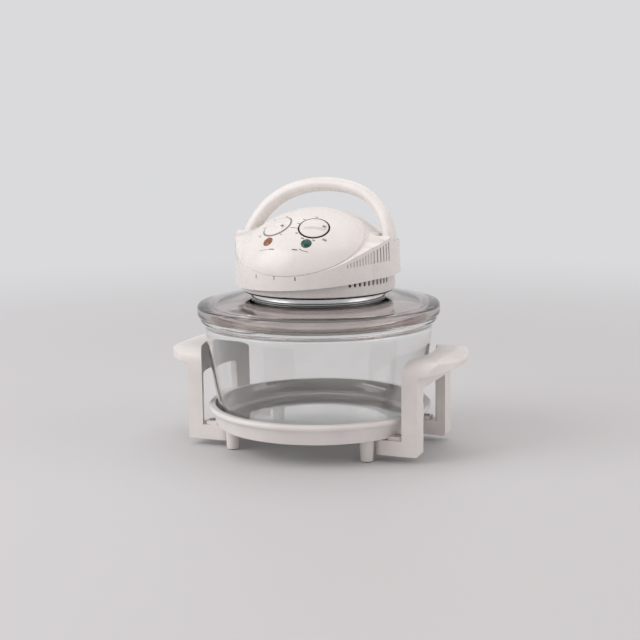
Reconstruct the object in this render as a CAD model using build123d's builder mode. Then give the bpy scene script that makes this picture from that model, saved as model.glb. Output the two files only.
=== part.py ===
from build123d import *

import os
from math import atan2, cos, degrees, radians, sin, sqrt, tan

# A halogen oven: a glass bowl in a white stand, a glass lid, and a control head on the lid.
# The head faces -Y, +X is its right-hand side, and z = 0 is the table. All sizes are in mm.

os.makedirs("parts", exist_ok=True)

# ---------------------------------------------------------------- driving dimensions

seat_gap = 0.3  # between loose pieces that lie on or in each other
shaft_gap = 0.06  # radial running clearance of a shaft in its hole
hole_gap = 0.1  # radial clearance of a screw or pin in a fixed hole
fit_gap = 0.02  # radial clearance of a tight fit

# glass bowl: its rim sets the size of the stand and of the lid's rim
glass = 4.6
bowl_rim_radius = 165.5
bowl_rim_depth = 9.0
bowl_rim_round = 2.5
bowl_neck_in = 6.1  # inwards from the rim, as are the next three
bowl_middle_in = 12.7
bowl_heel_in = 22.3
bowl_base_in = 49.5
bowl_neck_drop = 14.5  # from the rim down to the neck
bowl_heel_height = 22.0
bowl_height = 150.5

# glass lid
lid_overhang = 4.5  # beyond the bowl's rim
lid_rim_height = 16.3
lid_edge_round = 4.0
lid_rise = 7.5  # how far the glass climbs from the rim to the hole
lid_bulge = 1.4
lid_skirt_gap = 0.8  # between the skirt and the mouth of the bowl
lid_skirt_depth = 5.5
lid_skirt_width = 4.4
lid_hole_gap = 0.8

# stand: the bowl and lid sit at any angle in it, and its handles are turned this far from the head
stand_turn = 5.0
tray_z = 32.0  # underside of the tray
tray_wall = 3.0
tray_ledge = 20.0  # how far the tray reaches in under the flat of the bowl
tray_base_gap = 2.4  # from the bowl's heel to the foot of the tray's wall
tray_flare = 5.2  # how much wider the tray is at its lip
tray_lip_width = 6.0
tray_height = 28.5
tray_lip_height = 8.5
tray_rib_depth = 4.0

foot_clearance = 3.2  # from a foot to the round end of the arm beside it
foot_bearing = 39.0  # degrees, from the line of the arm to the foot, at the arm's end
foot_top_radius = 10.0
foot_end_radius = 8.6
foot_edge = 1.5
pad_radius = 6.5
pad_height = 2.5
pad_inset = 1.5  # how far a pad sits inside its foot
pad_edge = 0.6

# side handles: their inner faces follow the bowl, and their depths are measured out from there
handle_clearance = 6.6
handle_half_length = 76.0
handle_leg_width = 26.0
handle_leg_depth = 4.0
handle_leg_edge = 3.0
handle_foot_z = 9.7
handle_top_z = 139.5
handle_window_top = 99.0
handle_window_corner = 6.0
wing_end_depth = 25.0
wing_middle_depth = 46.0
wing_root_z = 115.5
wing_tip_z = 126.5
wing_droop = 6.0  # its top falls this much towards the tip
wing_corner = 26.0
wing_shoulder = 20.0  # radius between its top and its ends
wing_edge = 2.5
arm_reach = 38.6  # of each arm under the tray, inwards from the edge of its base
arm_height = 20.3
arm_bite = 2.0  # how far an arm runs into its leg

lug_reach = 20.6
lug_overhang = 0.4  # beyond the edge of the tray's base
lug_width = 18.0
lug_corner = 4.0
screw_in = 6.6
screw_radius = 2.0
screw_head_radius = 3.9
screw_head_height = 2.2
screw_head_edge = 1.0
screw_length = 16.0

# lamp unit under the head
drum_radius = 90.0
drum_wall = 1.2
drum_lip = 2.6
drum_drop = 5.6  # how far the drum hangs below the lid's glass
flange_width = 4.6
flange_thickness = 1.6
lid_gasket_thickness = 0.6
clamp_ring_width = 5.6
clamp_ring_height = 6.6
clamp_screw_radius = 1.4
clamp_screw_head = 2.3
clamp_screw_head_height = 1.0
clamp_screw_turns = (45, 135, 225, 315)  # degrees from +X
clamp_ring_edge = 1.0
heat_gasket_width = 14.0
heat_gasket_thickness = 2.4
heat_gasket_edge = 0.8
base_z = 222.0  # underside of the head

lamp_ring_in = 24.0  # inwards from the drum
lamp_tube_radius = 5.0
lamp_hang = 11.0  # from the reflector down to the middle of the tube
lamp_gap_angle = 24.0
holder_angle = 7.0
holder_half_width = 7.5
holder_cover = 1.5  # how far a holder reaches below the tube
reflector_sheet = 0.8
reflector_slope_width = 14.0
guard_thickness = 1.2
guard_hub_radius = 16.0
guard_rim = 12.7  # from the edge of the guard to the outermost slots
guard_slot_rows = 4
guard_slot_pitch = 16.0
guard_slot_width = 5.0
guard_slot_arc = 100
guard_slot_starts = (10, 130, 250)  # degrees from +X
hot_fan_in = 46.0  # inwards from the drum
hot_fan_height = 8.0
hot_fan_gap = 4.0  # under the reflector
hot_fan_hub = 9.0
hot_fan_blades = 6
blade_sheet = 1.2
blade_twist = 50.0

# control head: base ring, upper shell, domed panel
head_wall = 3.0
base_in = 7.5  # inwards from the shell's wall
base_height = 30.0
base_ledge_height = 3.0
base_edge = 1.5
shoulder_z = 250.0  # where the straight side wall turns into the dome
wall_radius = 115.0
wall_draft = 2.5  # degrees
dome_top = 334.0
dome_corner = 60.0
panel_step = 1.5  # the panel stands this far proud of the shell's dome
panel_edge = 1.1
seam_z = 239.0  # height of the shell's lower edge at the axis
seam_slope = 0.07  # it climbs towards the back
seam_cant = 0.04  # and towards the right-hand side
crease_z = 314.0  # height of the panel's edge plane at the axis
crease_slope = 0.55
roof_peak = 305.0  # ridge of the ears before it is rounded
roof_slope = 0.45
roof_round = 22.0
ear_reach = 123.6
ear_round = 60.0
boss_spacing_x = 160.0
boss_spacing_y = 112.0
boss_radius = 5.0
base_screw_radius = 1.8
base_screw_head = 3.4
base_screw_length = 14.0

# carry handle
pivot_y = -5.0
pivot_z = 279.0
handle_span = 109.5  # half width between the pivots, to the middle of the bar
handle_rise = 93.4
handle_shoulder = 90.3
bar_half_thickness = 8.3
bar_half_width = 11.2
bar_round = 6.5
handle_lean = 25.2  # degrees back from upright, as it stands at rest
handle_swing_back = 14.0
pocket_gap = 0.5
pocket_flare = 6.0  # room inboard of each hub for the arms, which bend inwards
hub_gap = 0.7
hub_boss_radius = 6.0
pin_radius = 4.0
pin_head_radius = 6.5
pin_head_height = 2.0
pin_bite = 1.7  # how far a pin enters the skin of the ear

# controls on the panel
knob_out = 28.0
knob_front = 66.0
knob_radius = 19.6
knob_height = 5.6
knob_crown = 2.2
knob_draft = 3.0  # degrees
knob_lift = 0.8  # running gap under the knob
grip_width = 9.0
grip_rise = 1.0
grip_edge = 0.8
well_gap = 2.3  # clearance round the knob in its well
well_depth = 2.2
well_backing = 2.6
well_rim = 2.0
seal_width = 3.2
spindle_radius = 3.0
spindle_grip = 4.4  # how far a spindle enters its knob
spindle_tail = 10.0  # how far it reaches into its switch unit
timer_half_width = 17.0
timer_depth = 26.0
thermostat_radius = 15.0
thermostat_depth = 20.0
lens_out = 29.0
lens_front = 91.0
lens_radius = 7.2
lens_proud = 1.3
lens_length = 7.0

# motor and cooling fan
shaft_radius = 3.0
shaft_tip = 3.0
shaft_hole = 1.0  # radial room round the shaft in sheet metal
shaft_bevel = 0.5
motor_radius = 28.0
motor_height = 28.0
motor_edge = 3.0
motor_boss_radius = 9.0
motor_boss_height = 4.0
bracket_height = 29.0
bracket_half_span = 45.0
bracket_width = 24.0
bracket_foot = 10.0
bracket_sheet = 2.0
fan_radius = 38.0
fan_height = 11.0
fan_lift = 9.0  # above the base floor
fan_hub = 11.0
fan_blades = 5
base_hole_radius = 9.0

# safety switch beside the right-hand pivot
switch_length = 20.0
switch_width = 6.4
switch_height = 10.0
switch_drop = 9.0  # of its plunger, below the pivot
switch_above = 2.0  # how far its body reaches above the plunger
plunger_radius = 1.25
plunger_travel = 1.2
plunger_tail = 6.0

gland_z = 234.5
gland_radius = 5.5
gland_flange_radius = 8.0
gland_flange = 3.0
gland_bore = 3.4
gland_tail = 2.0
gland_edge = 1.2

# openings in the head
vent_count = 10
vent_pitch = 4.1  # degrees
vent_start = 50.0  # degrees from the front
vent_width = 3.8
vent_low = 13.0  # above the underside of the base
vent_high = 22.5
rib_count = 15
rib_pitch = 2.3
rib_start = 47.0
rib_width = 1.9
rib_low = 262.0
rib_climb = 0.4  # each rib starts this much higher than the one before
rib_margin = 5.0  # below the roof line
front_slot_turns = (-19.4, -3.8, 11.4)  # degrees from the front
front_slot_width = 1.7
front_slot_height = 5.0
front_slot_z = 249.0

# ---------------------------------------------------------------- derived heights and helpers

front = -90.0  # direction of the front of the head, in degrees from +X
rear = 90.0
over = 1.0  # how far a cutting tool starts outside what it cuts
bowl_neck_radius = bowl_rim_radius - bowl_neck_in
bowl_middle_radius = bowl_rim_radius - bowl_middle_in
bowl_heel_radius = bowl_rim_radius - bowl_heel_in
bowl_base_radius = bowl_rim_radius - bowl_base_in
mouth_radius = bowl_neck_radius - glass
lid_radius = bowl_rim_radius + lid_overhang
tray_base_radius = bowl_heel_radius + tray_base_gap
tray_neck_radius = tray_base_radius + tray_flare
tray_opening_radius = bowl_base_radius - tray_ledge
handle_clear_radius = bowl_neck_radius + handle_clearance
handle_leg_out = handle_clear_radius + handle_leg_depth
wing_end_out = handle_clear_radius + wing_end_depth
wing_middle_out = handle_clear_radius + wing_middle_depth
arm_in = tray_base_radius - arm_reach
arm_end = handle_leg_width / 2  # radius of an arm's round end
arm_v = handle_half_length - arm_end  # distance of each arm from the handle's middle
arm_top = handle_foot_z + arm_height
foot_reach = arm_end + foot_top_radius + foot_clearance
foot_spacing_x = 2 * (arm_in + arm_end - foot_reach * cos(radians(foot_bearing)))
foot_spacing_y = 2 * (arm_v + foot_reach * sin(radians(foot_bearing)))
lug_in = tray_base_radius - lug_reach
lug_out = tray_base_radius + lug_overhang
screw_out = tray_base_radius - screw_in
floor_z = tray_z + tray_wall
bowl_z = floor_z + seat_gap
bowl_top = bowl_z + bowl_height
lid_z = bowl_top + seat_gap
lid_edge_top = lid_z + lid_rim_height
lid_hole_radius = drum_radius + lid_hole_gap
lid_hole_top = lid_edge_top + lid_rise
lid_hole_low = lid_hole_top - glass
drum_low = lid_hole_low - drum_drop
base_radius = wall_radius - base_in
base_floor = base_z + head_wall
base_top = base_z + base_height
draft = tan(radians(wall_draft))
crown_radius = ((wall_radius - dome_corner) ** 2 + (dome_top - shoulder_z) ** 2 - dome_corner**2) / (
    2 * (dome_top - shoulder_z - dome_corner)
)
crown_z = dome_top - crown_radius
knob_seat = -well_depth + knob_lift  # underside of a knob, along its own axis
bench = 3 * bowl_rim_radius  # larger than the oven, for cutting tools


def upright(turn=0.0):
    """Vertical plane through the oven's axis: x runs outwards at this angle, y up."""
    return Plane.XZ.rotated((0, 0, turn))


def level(z, turn=0.0):
    """Level plane at this height, with its x axis at this angle."""
    return Plane.XY.rotated((0, 0, turn)).offset(z)


def facing(out, turn=0.0):
    """Vertical plane square to the direction at this angle: x runs sideways, y up."""
    return Plane.YZ.rotated((0, 0, turn)).offset(out)


def on_dome(across, front):
    """Plane touching the panel's dome, with its z along the dome's normal there."""
    height = sqrt(crown_radius**2 - across**2 - front**2)
    return Plane(
        origin=(across, -front, crown_z + height),
        x_dir=(height, 0, -across),
        z_dir=(across, -front, height),
    )


def three_arcs(span, rise, corner, inset=0.0, legs=0.0):
    """Outline of an arch of three arcs that leaves its feet upright, moved inwards by inset."""
    crown = ((span - corner) ** 2 + rise**2 - corner**2) / (2 * (rise - corner))
    join = degrees(atan2(crown - rise, span - corner))
    CenterArc((span - corner, 0), corner - inset, 0, join)
    CenterArc((0, rise - crown), crown - inset, join, 180 - 2 * join)
    CenterArc((corner - span, 0), corner - inset, 180 - join, join)
    Polyline(
        (inset - span, 0),
        (inset - span, -legs),
        (span - inset, -legs),
        (span - inset, 0),
    )


def finish(piece, name):
    """Label a finished piece and write its file."""
    piece.part.label = name
    export_step(piece.part, f"parts/{name}.step")


# ---------------------------------------------------------------- stand

lip_top = tray_z + tray_height
lip_low = lip_top - tray_lip_height
lip_root = tray_neck_radius + tray_wall

with BuildPart() as tray:
    with BuildSketch(upright()):
        with BuildLine():
            Polyline(
                (lip_root, lip_low),
                (tray_neck_radius, lip_low),
                (tray_base_radius, tray_z),
                (tray_opening_radius, tray_z),
                (tray_opening_radius, floor_z),
                (tray_base_radius - tray_wall, floor_z),
                (tray_neck_radius - tray_wall, lip_top),
                (lip_root, lip_top),
            )
            ThreePointArc(
                (lip_root, lip_top),
                (tray_neck_radius + tray_lip_width, (lip_low + lip_top) / 2),
                (lip_root, lip_low),
            )
        make_face()
        with Locations((tray_opening_radius + tray_wall / 2, tray_z - tray_rib_depth / 2)):
            Rectangle(tray_wall, tray_rib_depth)
    revolve(axis=Axis.Z)
    with BuildSketch(level(arm_top, stand_turn)):
        with GridLocations(lug_in + lug_out, 2 * arm_v, 2, 2):
            RectangleRounded(lug_out - lug_in, lug_width, lug_corner)
    extrude(amount=floor_z - arm_top)
    with BuildSketch(level(arm_top, stand_turn)):
        with GridLocations(2 * screw_out, 2 * arm_v, 2, 2):
            Circle(screw_radius + hole_gap)
    extrude(amount=floor_z - arm_top, mode=Mode.SUBTRACT)
finish(tray, "tray")

with BuildPart() as feet:
    foot_height = tray_z - pad_height + pad_inset
    with BuildSketch(level(tray_z, stand_turn)):
        with GridLocations(foot_spacing_x, foot_spacing_y, 2, 2):
            Circle(foot_top_radius)
    extrude(amount=-foot_height, taper=degrees(atan2(foot_top_radius - foot_end_radius, foot_height)))
    fillet(feet.edges().group_by(Axis.Z)[0], radius=foot_edge)
    with BuildSketch(level(pad_height - pad_inset, stand_turn)):
        with GridLocations(foot_spacing_x, foot_spacing_y, 2, 2):
            Circle(pad_radius)
    extrude(amount=pad_inset, mode=Mode.SUBTRACT)
finish(feet, "feet")

with BuildPart() as foot_pads:
    with BuildSketch(level(0, stand_turn)):
        with GridLocations(foot_spacing_x, foot_spacing_y, 2, 2):
            Circle(pad_radius)
    extrude(amount=pad_height)
    fillet(foot_pads.edges().group_by(Axis.Z)[0], radius=pad_edge)
finish(foot_pads, "foot_pads")


def side_handle():
    """Two legs with arms under the tray, joined at the top by a bowed wing to lift the oven by."""
    with BuildPart() as handle:
        with BuildSketch(level(handle_foot_z)) as outline:
            with BuildLine():
                ThreePointArc(
                    (wing_end_out, -handle_half_length),
                    (wing_middle_out, 0),
                    (wing_end_out, handle_half_length),
                )
                Polyline(
                    (wing_end_out, handle_half_length),
                    (handle_clear_radius / 2, handle_half_length),
                    (handle_clear_radius / 2, -handle_half_length),
                    (wing_end_out, -handle_half_length),
                )
            make_face()
            fillet(outline.vertices().group_by(Axis.X)[-1], radius=wing_corner)
            Circle(handle_clear_radius, mode=Mode.SUBTRACT)
        extrude(amount=handle_top_z - handle_foot_z)
        with BuildSketch(upright()) as profile:  # what is kept of it, seen along the handle
            with BuildLine():
                Polyline(
                    (0, handle_foot_z),
                    (handle_leg_out, handle_foot_z),
                    (handle_leg_out, wing_root_z),
                    (wing_middle_out, wing_tip_z),
                    (wing_middle_out, handle_top_z - wing_droop),
                    (wing_end_out, handle_top_z),
                    (0, handle_top_z),
                    close=True,
                )
            make_face()
            foot_corner = profile.vertices().sort_by_distance((handle_leg_out, handle_foot_z))[0]
            fillet(foot_corner, radius=handle_leg_edge)
        extrude(amount=bench, both=True, mode=Mode.INTERSECT)
        with BuildSketch(Plane.YZ) as front_view:
            with Locations((0, handle_foot_z)):
                Rectangle(
                    2 * handle_half_length,
                    handle_top_z - handle_foot_z,
                    align=(Align.CENTER, Align.MIN),
                )
            fillet(front_view.vertices().group_by(Axis.Y)[-1], radius=wing_shoulder)
        extrude(amount=bench, mode=Mode.INTERSECT)
        curved = handle.edges().filter_by(GeomType.LINE, reverse=True)
        flared = curved.filter_by_position(Axis.X, wing_end_out, wing_middle_out)
        fillet(flared.filter_by_position(Axis.Z, wing_root_z, handle_top_z), radius=wing_edge)
        with BuildSketch(Plane.YZ) as window:
            with Locations((0, handle_foot_z)):
                Rectangle(
                    2 * (handle_half_length - handle_leg_width),
                    2 * (handle_window_top - handle_foot_z),
                )
            fillet(window.vertices(), radius=handle_window_corner)
        extrude(amount=bench, mode=Mode.SUBTRACT)
        leg_bite = handle_clear_radius + arm_bite
        with BuildSketch(level(handle_foot_z)):
            with Locations((0, -arm_v), (0, arm_v)):
                with Locations(((arm_in + arm_end + leg_bite) / 2, 0)):
                    Rectangle(leg_bite - arm_in - arm_end, handle_leg_width)
                with Locations((arm_in + arm_end, 0)):
                    Circle(arm_end)
        extrude(amount=arm_height)
        with BuildSketch(level(arm_top)):
            with Locations((screw_out, -arm_v), (screw_out, arm_v)):
                Circle(screw_radius + hole_gap)
        extrude(amount=-screw_length, mode=Mode.SUBTRACT)
    return handle.part


with BuildPart() as handle_right:
    add(side_handle(), rotation=(0, 0, stand_turn))
finish(handle_right, "handle_right")
with BuildPart() as handle_left:
    add(side_handle(), rotation=(0, 0, stand_turn + 180))
finish(handle_left, "handle_left")

with BuildPart() as handle_screws:
    with BuildSketch(level(floor_z, stand_turn)):
        with GridLocations(2 * screw_out, 2 * arm_v, 2, 2):
            Circle(screw_head_radius)
    extrude(amount=screw_head_height)
    fillet(handle_screws.edges().group_by(Axis.Z)[-1], radius=screw_head_edge)
    with BuildSketch(level(floor_z, stand_turn)):
        with GridLocations(2 * screw_out, 2 * arm_v, 2, 2):
            Circle(screw_radius)
    extrude(amount=-screw_length)
finish(handle_screws, "handle_screws")

# ---------------------------------------------------------------- bowl and lid

neck_z = bowl_top - bowl_neck_drop
heel_z = bowl_z + bowl_heel_height
middle_z = (heel_z + neck_z) / 2
rim_low = bowl_top - bowl_rim_depth
rim_root = bowl_rim_radius - bowl_rim_round

with BuildPart() as bowl:
    with BuildSketch(upright()):
        with BuildLine():
            Line((0, bowl_z), (bowl_base_radius, bowl_z))
            TangentArc((bowl_base_radius, bowl_z), (bowl_heel_radius, heel_z), tangent=(1, 0))
            ThreePointArc(
                (bowl_heel_radius, heel_z),
                (bowl_middle_radius, middle_z),
                (bowl_neck_radius, neck_z),
            )
            Line((bowl_neck_radius, neck_z), (rim_root, rim_low))
            ThreePointArc(
                (rim_root, rim_low),
                (bowl_rim_radius, (rim_low + bowl_top) / 2),
                (rim_root, bowl_top),
            )
            Polyline((rim_root, bowl_top), (mouth_radius, bowl_top), (mouth_radius, neck_z))
            ThreePointArc(
                (mouth_radius, neck_z),
                (bowl_middle_radius - glass, middle_z),
                (bowl_heel_radius - glass, heel_z),
            )
            TangentArc(
                (bowl_base_radius, bowl_z + glass),
                (bowl_heel_radius - glass, heel_z),
                tangent=(1, 0),
            )
            Polyline((bowl_base_radius, bowl_z + glass), (0, bowl_z + glass), (0, bowl_z))
        make_face()
    revolve(axis=Axis.Z)
finish(bowl, "bowl")

land_radius = mouth_radius - lid_skirt_gap
skirt_low = lid_z - lid_skirt_depth
under_edge = lid_edge_top - glass  # underside of the lid just inside its heavy rim

with BuildPart() as lid_glass:
    with BuildSketch(upright()):
        with BuildLine():
            Line((lid_hole_radius, lid_hole_low), (lid_hole_radius, lid_hole_top))
            ThreePointArc(
                (lid_hole_radius, lid_hole_top),
                ((lid_hole_radius + lid_radius) / 2, (lid_hole_top + lid_edge_top) / 2 + lid_bulge),
                (lid_radius - lid_edge_round, lid_edge_top),
            )
            TangentArc(
                (lid_radius, lid_edge_top - 1.5 * lid_edge_round),
                (lid_radius - lid_edge_round, lid_edge_top),
                tangent=(0, 1),
            )
            Polyline(
                (lid_radius, lid_edge_top - 1.5 * lid_edge_round),
                (lid_radius, lid_z + lid_edge_round),
                (lid_radius - lid_edge_round / 2, lid_z),
                (land_radius, lid_z),
                (land_radius, skirt_low),
                (land_radius - lid_skirt_width, skirt_low),
                (land_radius - lid_skirt_width, under_edge),
            )
            ThreePointArc(
                (land_radius - lid_skirt_width, under_edge),
                (
                    (lid_hole_radius + lid_radius) / 2,
                    (lid_hole_top + lid_edge_top) / 2 + lid_bulge - glass,
                ),
                (lid_hole_radius, lid_hole_low),
            )
        make_face()
    revolve(axis=Axis.Z)
finish(lid_glass, "lid_glass")

# ---------------------------------------------------------------- lamp unit

flange_radius = drum_radius + flange_width
flange_z = lid_hole_top + lid_gasket_thickness
ring_screw_z = lid_hole_low - clamp_ring_height / 2
ring_radius = drum_radius + hole_gap + clamp_ring_width

with BuildPart() as lid_gasket:
    with BuildSketch(level(lid_hole_top)):
        Circle(flange_radius)
        Circle(drum_radius + hole_gap, mode=Mode.SUBTRACT)
    extrude(amount=lid_gasket_thickness)
finish(lid_gasket, "lid_gasket")

with BuildPart() as retaining_ring:
    with BuildSketch(level(lid_hole_low)):
        Circle(ring_radius)
        Circle(drum_radius + hole_gap, mode=Mode.SUBTRACT)
    extrude(amount=-clamp_ring_height)
    fillet(retaining_ring.edges().group_by(Axis.Z)[0], radius=clamp_ring_edge)
    for turn in clamp_screw_turns:
        with BuildSketch(facing(ring_radius, turn)):
            with Locations((0, ring_screw_z)):
                Circle(clamp_screw_radius + hole_gap)
        extrude(amount=-2 * clamp_ring_width, mode=Mode.SUBTRACT)
finish(retaining_ring, "retaining_ring")

with BuildPart() as ring_screws:
    for turn in clamp_screw_turns:
        with BuildSketch(facing(ring_radius, turn)):
            with Locations((0, ring_screw_z)):
                Circle(clamp_screw_head)
        extrude(amount=clamp_screw_head_height)
        with BuildSketch(facing(ring_radius, turn)):
            with Locations((0, ring_screw_z)):
                Circle(clamp_screw_radius)
        extrude(amount=-clamp_ring_width - hole_gap - drum_wall)
finish(ring_screws, "ring_screws")

with BuildPart() as lamp_drum:
    with BuildSketch(upright()):
        with BuildLine():
            Polyline(
                (drum_radius, drum_low),
                (drum_radius, flange_z),
                (flange_radius, flange_z),
                (flange_radius, flange_z + flange_thickness),
                (drum_radius, flange_z + flange_thickness),
                (drum_radius, base_z),
                (drum_radius - 3 * drum_wall, base_z),
                (drum_radius - 3 * drum_wall, base_z - drum_wall),
                (drum_radius - drum_wall, base_z - drum_wall),
                (drum_radius - drum_wall, drum_low + drum_wall),
                (drum_radius - drum_lip, drum_low + drum_wall),
                (drum_radius - drum_lip, drum_low),
                close=True,
            )
        make_face()
    revolve(axis=Axis.Z)
    for turn in clamp_screw_turns:
        with BuildSketch(facing(drum_radius + over, turn)):
            with Locations((0, ring_screw_z)):
                Circle(clamp_screw_radius + hole_gap)
        extrude(amount=-4 * drum_wall, mode=Mode.SUBTRACT)
finish(lamp_drum, "lamp_drum")

with BuildPart() as heat_gasket:
    with BuildSketch(level(base_z)):
        Circle(drum_radius + heat_gasket_width)
        Circle(drum_radius + hole_gap, mode=Mode.SUBTRACT)
    extrude(amount=-heat_gasket_thickness)
    fillet(heat_gasket.edges().group_by(Axis.Z)[0].sort_by(SortBy.LENGTH)[-1], radius=heat_gasket_edge)
finish(heat_gasket, "heat_gasket")

guard_low = drum_low + drum_wall
guard_top = guard_low + guard_thickness
inner_drum_radius = drum_radius - drum_wall - hole_gap
reflector_top = base_z - drum_wall
reflector_under = reflector_top - reflector_sheet
lamp_z = reflector_under - lamp_hang
lamp_ring_radius = drum_radius - lamp_ring_in
reflector_flat_radius = drum_radius - reflector_slope_width
hot_fan_radius = drum_radius - hot_fan_in
hot_fan_top = reflector_under - hot_fan_gap
hot_fan_low = hot_fan_top - hot_fan_height

with BuildPart() as heater_guard:
    with BuildSketch(level(guard_low)):
        Circle(inner_drum_radius)
        for row in range(guard_slot_rows):
            slot_radius = inner_drum_radius - guard_rim - row * guard_slot_pitch
            for start in guard_slot_starts:
                slot_line = CenterArc((0, 0), slot_radius, start, guard_slot_arc)
                SlotArc(slot_line, guard_slot_width, mode=Mode.SUBTRACT)
    extrude(amount=guard_thickness)
finish(heater_guard, "heater_guard")

with BuildPart() as reflector:
    with BuildSketch(upright()):
        with BuildLine():
            Polyline(
                (inner_drum_radius, guard_top),
                (inner_drum_radius, guard_top + reflector_sheet),
                (inner_drum_radius - reflector_sheet, guard_top + reflector_sheet),
                (reflector_flat_radius, reflector_top),
                (shaft_radius + shaft_hole, reflector_top),
                (shaft_radius + shaft_hole, reflector_under),
                (reflector_flat_radius - reflector_sheet / 2, reflector_under),
                (inner_drum_radius - 2 * reflector_sheet, guard_top),
                close=True,
            )
        make_face()
    revolve(axis=Axis.Z)
finish(reflector, "reflector")

with BuildPart() as halogen_tube:
    with BuildSketch(upright(90 + lamp_gap_angle / 2)):
        with Locations((lamp_ring_radius, lamp_z)):
            Circle(lamp_tube_radius)
    revolve(axis=Axis.Z, revolution_arc=360 - lamp_gap_angle)
finish(halogen_tube, "halogen_tube")

with BuildPart() as lamp_holders:
    for turn in (90 + lamp_gap_angle / 2 - holder_angle, 90 - lamp_gap_angle / 2):
        with BuildSketch(upright(turn)):
            with Locations((lamp_ring_radius, reflector_under)):
                Rectangle(
                    2 * holder_half_width,
                    lamp_hang + lamp_tube_radius + holder_cover,
                    align=(Align.CENTER, Align.MAX),
                )
        revolve(axis=Axis.Z, revolution_arc=holder_angle)
finish(lamp_holders, "lamp_holders")

# ---------------------------------------------------------------- fan train

fan_low = base_floor + fan_lift
bracket_top = base_floor + bracket_height
motor_low = bracket_top + motor_boss_height
motor_top = motor_low + motor_height
shaft_low = hot_fan_low - shaft_tip


def fan(low, height, tip_radius, hub_radius, blades):
    """A hub with flat blades set at an angle, bored for the motor shaft."""
    with BuildPart() as rotor:
        for turn in range(0, 360, 360 // blades):
            with BuildSketch(facing(shaft_radius + shaft_hole, turn)):
                with Locations((0, low + height / 2)):
                    Rectangle(blade_sheet, 2 * height, rotation=blade_twist)
            extrude(amount=tip_radius - shaft_radius + shaft_hole)
        with BuildSketch(level(low)):
            Circle(tip_radius)
        extrude(amount=height, mode=Mode.INTERSECT)
        with BuildSketch(level(low)):
            Circle(hub_radius)
        extrude(amount=height)
        with BuildSketch(level(low)):
            Circle(shaft_radius + fit_gap)
        extrude(amount=height, mode=Mode.SUBTRACT)
    return rotor


convection_fan = fan(hot_fan_low, hot_fan_height, hot_fan_radius, hot_fan_hub, hot_fan_blades)
finish(convection_fan, "convection_fan")
cooling_fan = fan(fan_low, fan_height, fan_radius, fan_hub, fan_blades)
finish(cooling_fan, "cooling_fan")

with BuildPart() as motor_shaft:
    with BuildSketch(level(shaft_low)):
        Circle(shaft_radius)
    extrude(amount=motor_top + shaft_tip - shaft_low)
    chamfer(motor_shaft.edges().filter_by(GeomType.CIRCLE), length=shaft_bevel)
finish(motor_shaft, "motor_shaft")

with BuildPart() as motor:
    with BuildSketch(level(bracket_top)):
        Circle(motor_boss_radius)
    extrude(amount=motor_boss_height)
    with BuildSketch(level(motor_low)):
        Circle(motor_radius)
    extrude(amount=motor_height)
    fillet(motor.edges().group_by(Axis.Z)[-1], radius=motor_edge)
    with BuildSketch(level(bracket_top)):
        Circle(shaft_radius + shaft_gap)
    extrude(amount=motor_boss_height + motor_height, mode=Mode.SUBTRACT)
finish(motor, "motor")

with BuildPart() as motor_bracket:
    with BuildSketch(Plane.XZ):
        with Locations((0, base_floor)):
            Rectangle(
                2 * bracket_half_span + 2 * bracket_foot,
                bracket_sheet,
                align=(Align.CENTER, Align.MIN),
            )
            Rectangle(2 * bracket_half_span, bracket_height, align=(Align.CENTER, Align.MIN))
            Rectangle(
                2 * bracket_half_span - 2 * bracket_sheet,
                bracket_height - bracket_sheet,
                align=(Align.CENTER, Align.MIN),
                mode=Mode.SUBTRACT,
            )
    extrude(amount=bracket_width / 2, both=True)
    with BuildSketch(level(bracket_top)):
        Circle(shaft_radius + shaft_hole)
    extrude(amount=-2 * bracket_sheet, mode=Mode.SUBTRACT)
finish(motor_bracket, "motor_bracket")

# ---------------------------------------------------------------- head: base, cord gland and shell

ledge_radius = wall_radius - panel_step - head_wall - hole_gap
base_wall_in = base_radius - head_wall

with BuildPart() as head_base:
    with BuildSketch(upright()):
        with BuildLine():
            Polyline(
                (base_hole_radius, base_z),
                (base_radius, base_z),
                (base_radius, base_top - base_ledge_height),
                (ledge_radius, base_top - base_ledge_height),
                (ledge_radius, base_top),
                (base_wall_in, base_top),
                (base_wall_in, base_floor),
                (base_hole_radius, base_floor),
                close=True,
            )
        make_face()
    revolve(axis=Axis.Z)
    fillet(head_base.edges().group_by(Axis.Z)[0].sort_by(SortBy.LENGTH)[-1], radius=base_edge)
    for side in (-1, 1):
        for index in range(vent_count):
            turn = front + side * (vent_start + index * vent_pitch)
            with BuildSketch(facing(base_wall_in - over, turn)):
                with Locations((0, base_z + (vent_low + vent_high) / 2)):
                    SlotOverall(vent_high - vent_low, vent_width, rotation=90)
            extrude(amount=head_wall + 2 * over, mode=Mode.SUBTRACT)
    for turn in front_slot_turns:
        with BuildSketch(facing(base_wall_in - over, front + turn)):
            with Locations((0, front_slot_z)):
                Rectangle(front_slot_width, front_slot_height)
        extrude(amount=wall_radius, mode=Mode.SUBTRACT)
    with BuildSketch(facing(base_wall_in - over, rear)):
        with Locations((0, gland_z)):
            Circle(gland_radius + hole_gap)
    extrude(amount=head_wall + 2 * over, mode=Mode.SUBTRACT)
    with Locations(Plane.XY.offset(base_z).rotated((180, 0, 0))):
        with GridLocations(boss_spacing_x, boss_spacing_y, 2, 2):
            CounterBoreHole(
                radius=base_screw_radius + hole_gap,
                counter_bore_radius=base_screw_head + hole_gap,
                counter_bore_depth=head_wall / 2,
                depth=head_wall,
            )
finish(head_base, "head_base")

gland_out = base_radius + gland_flange

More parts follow.
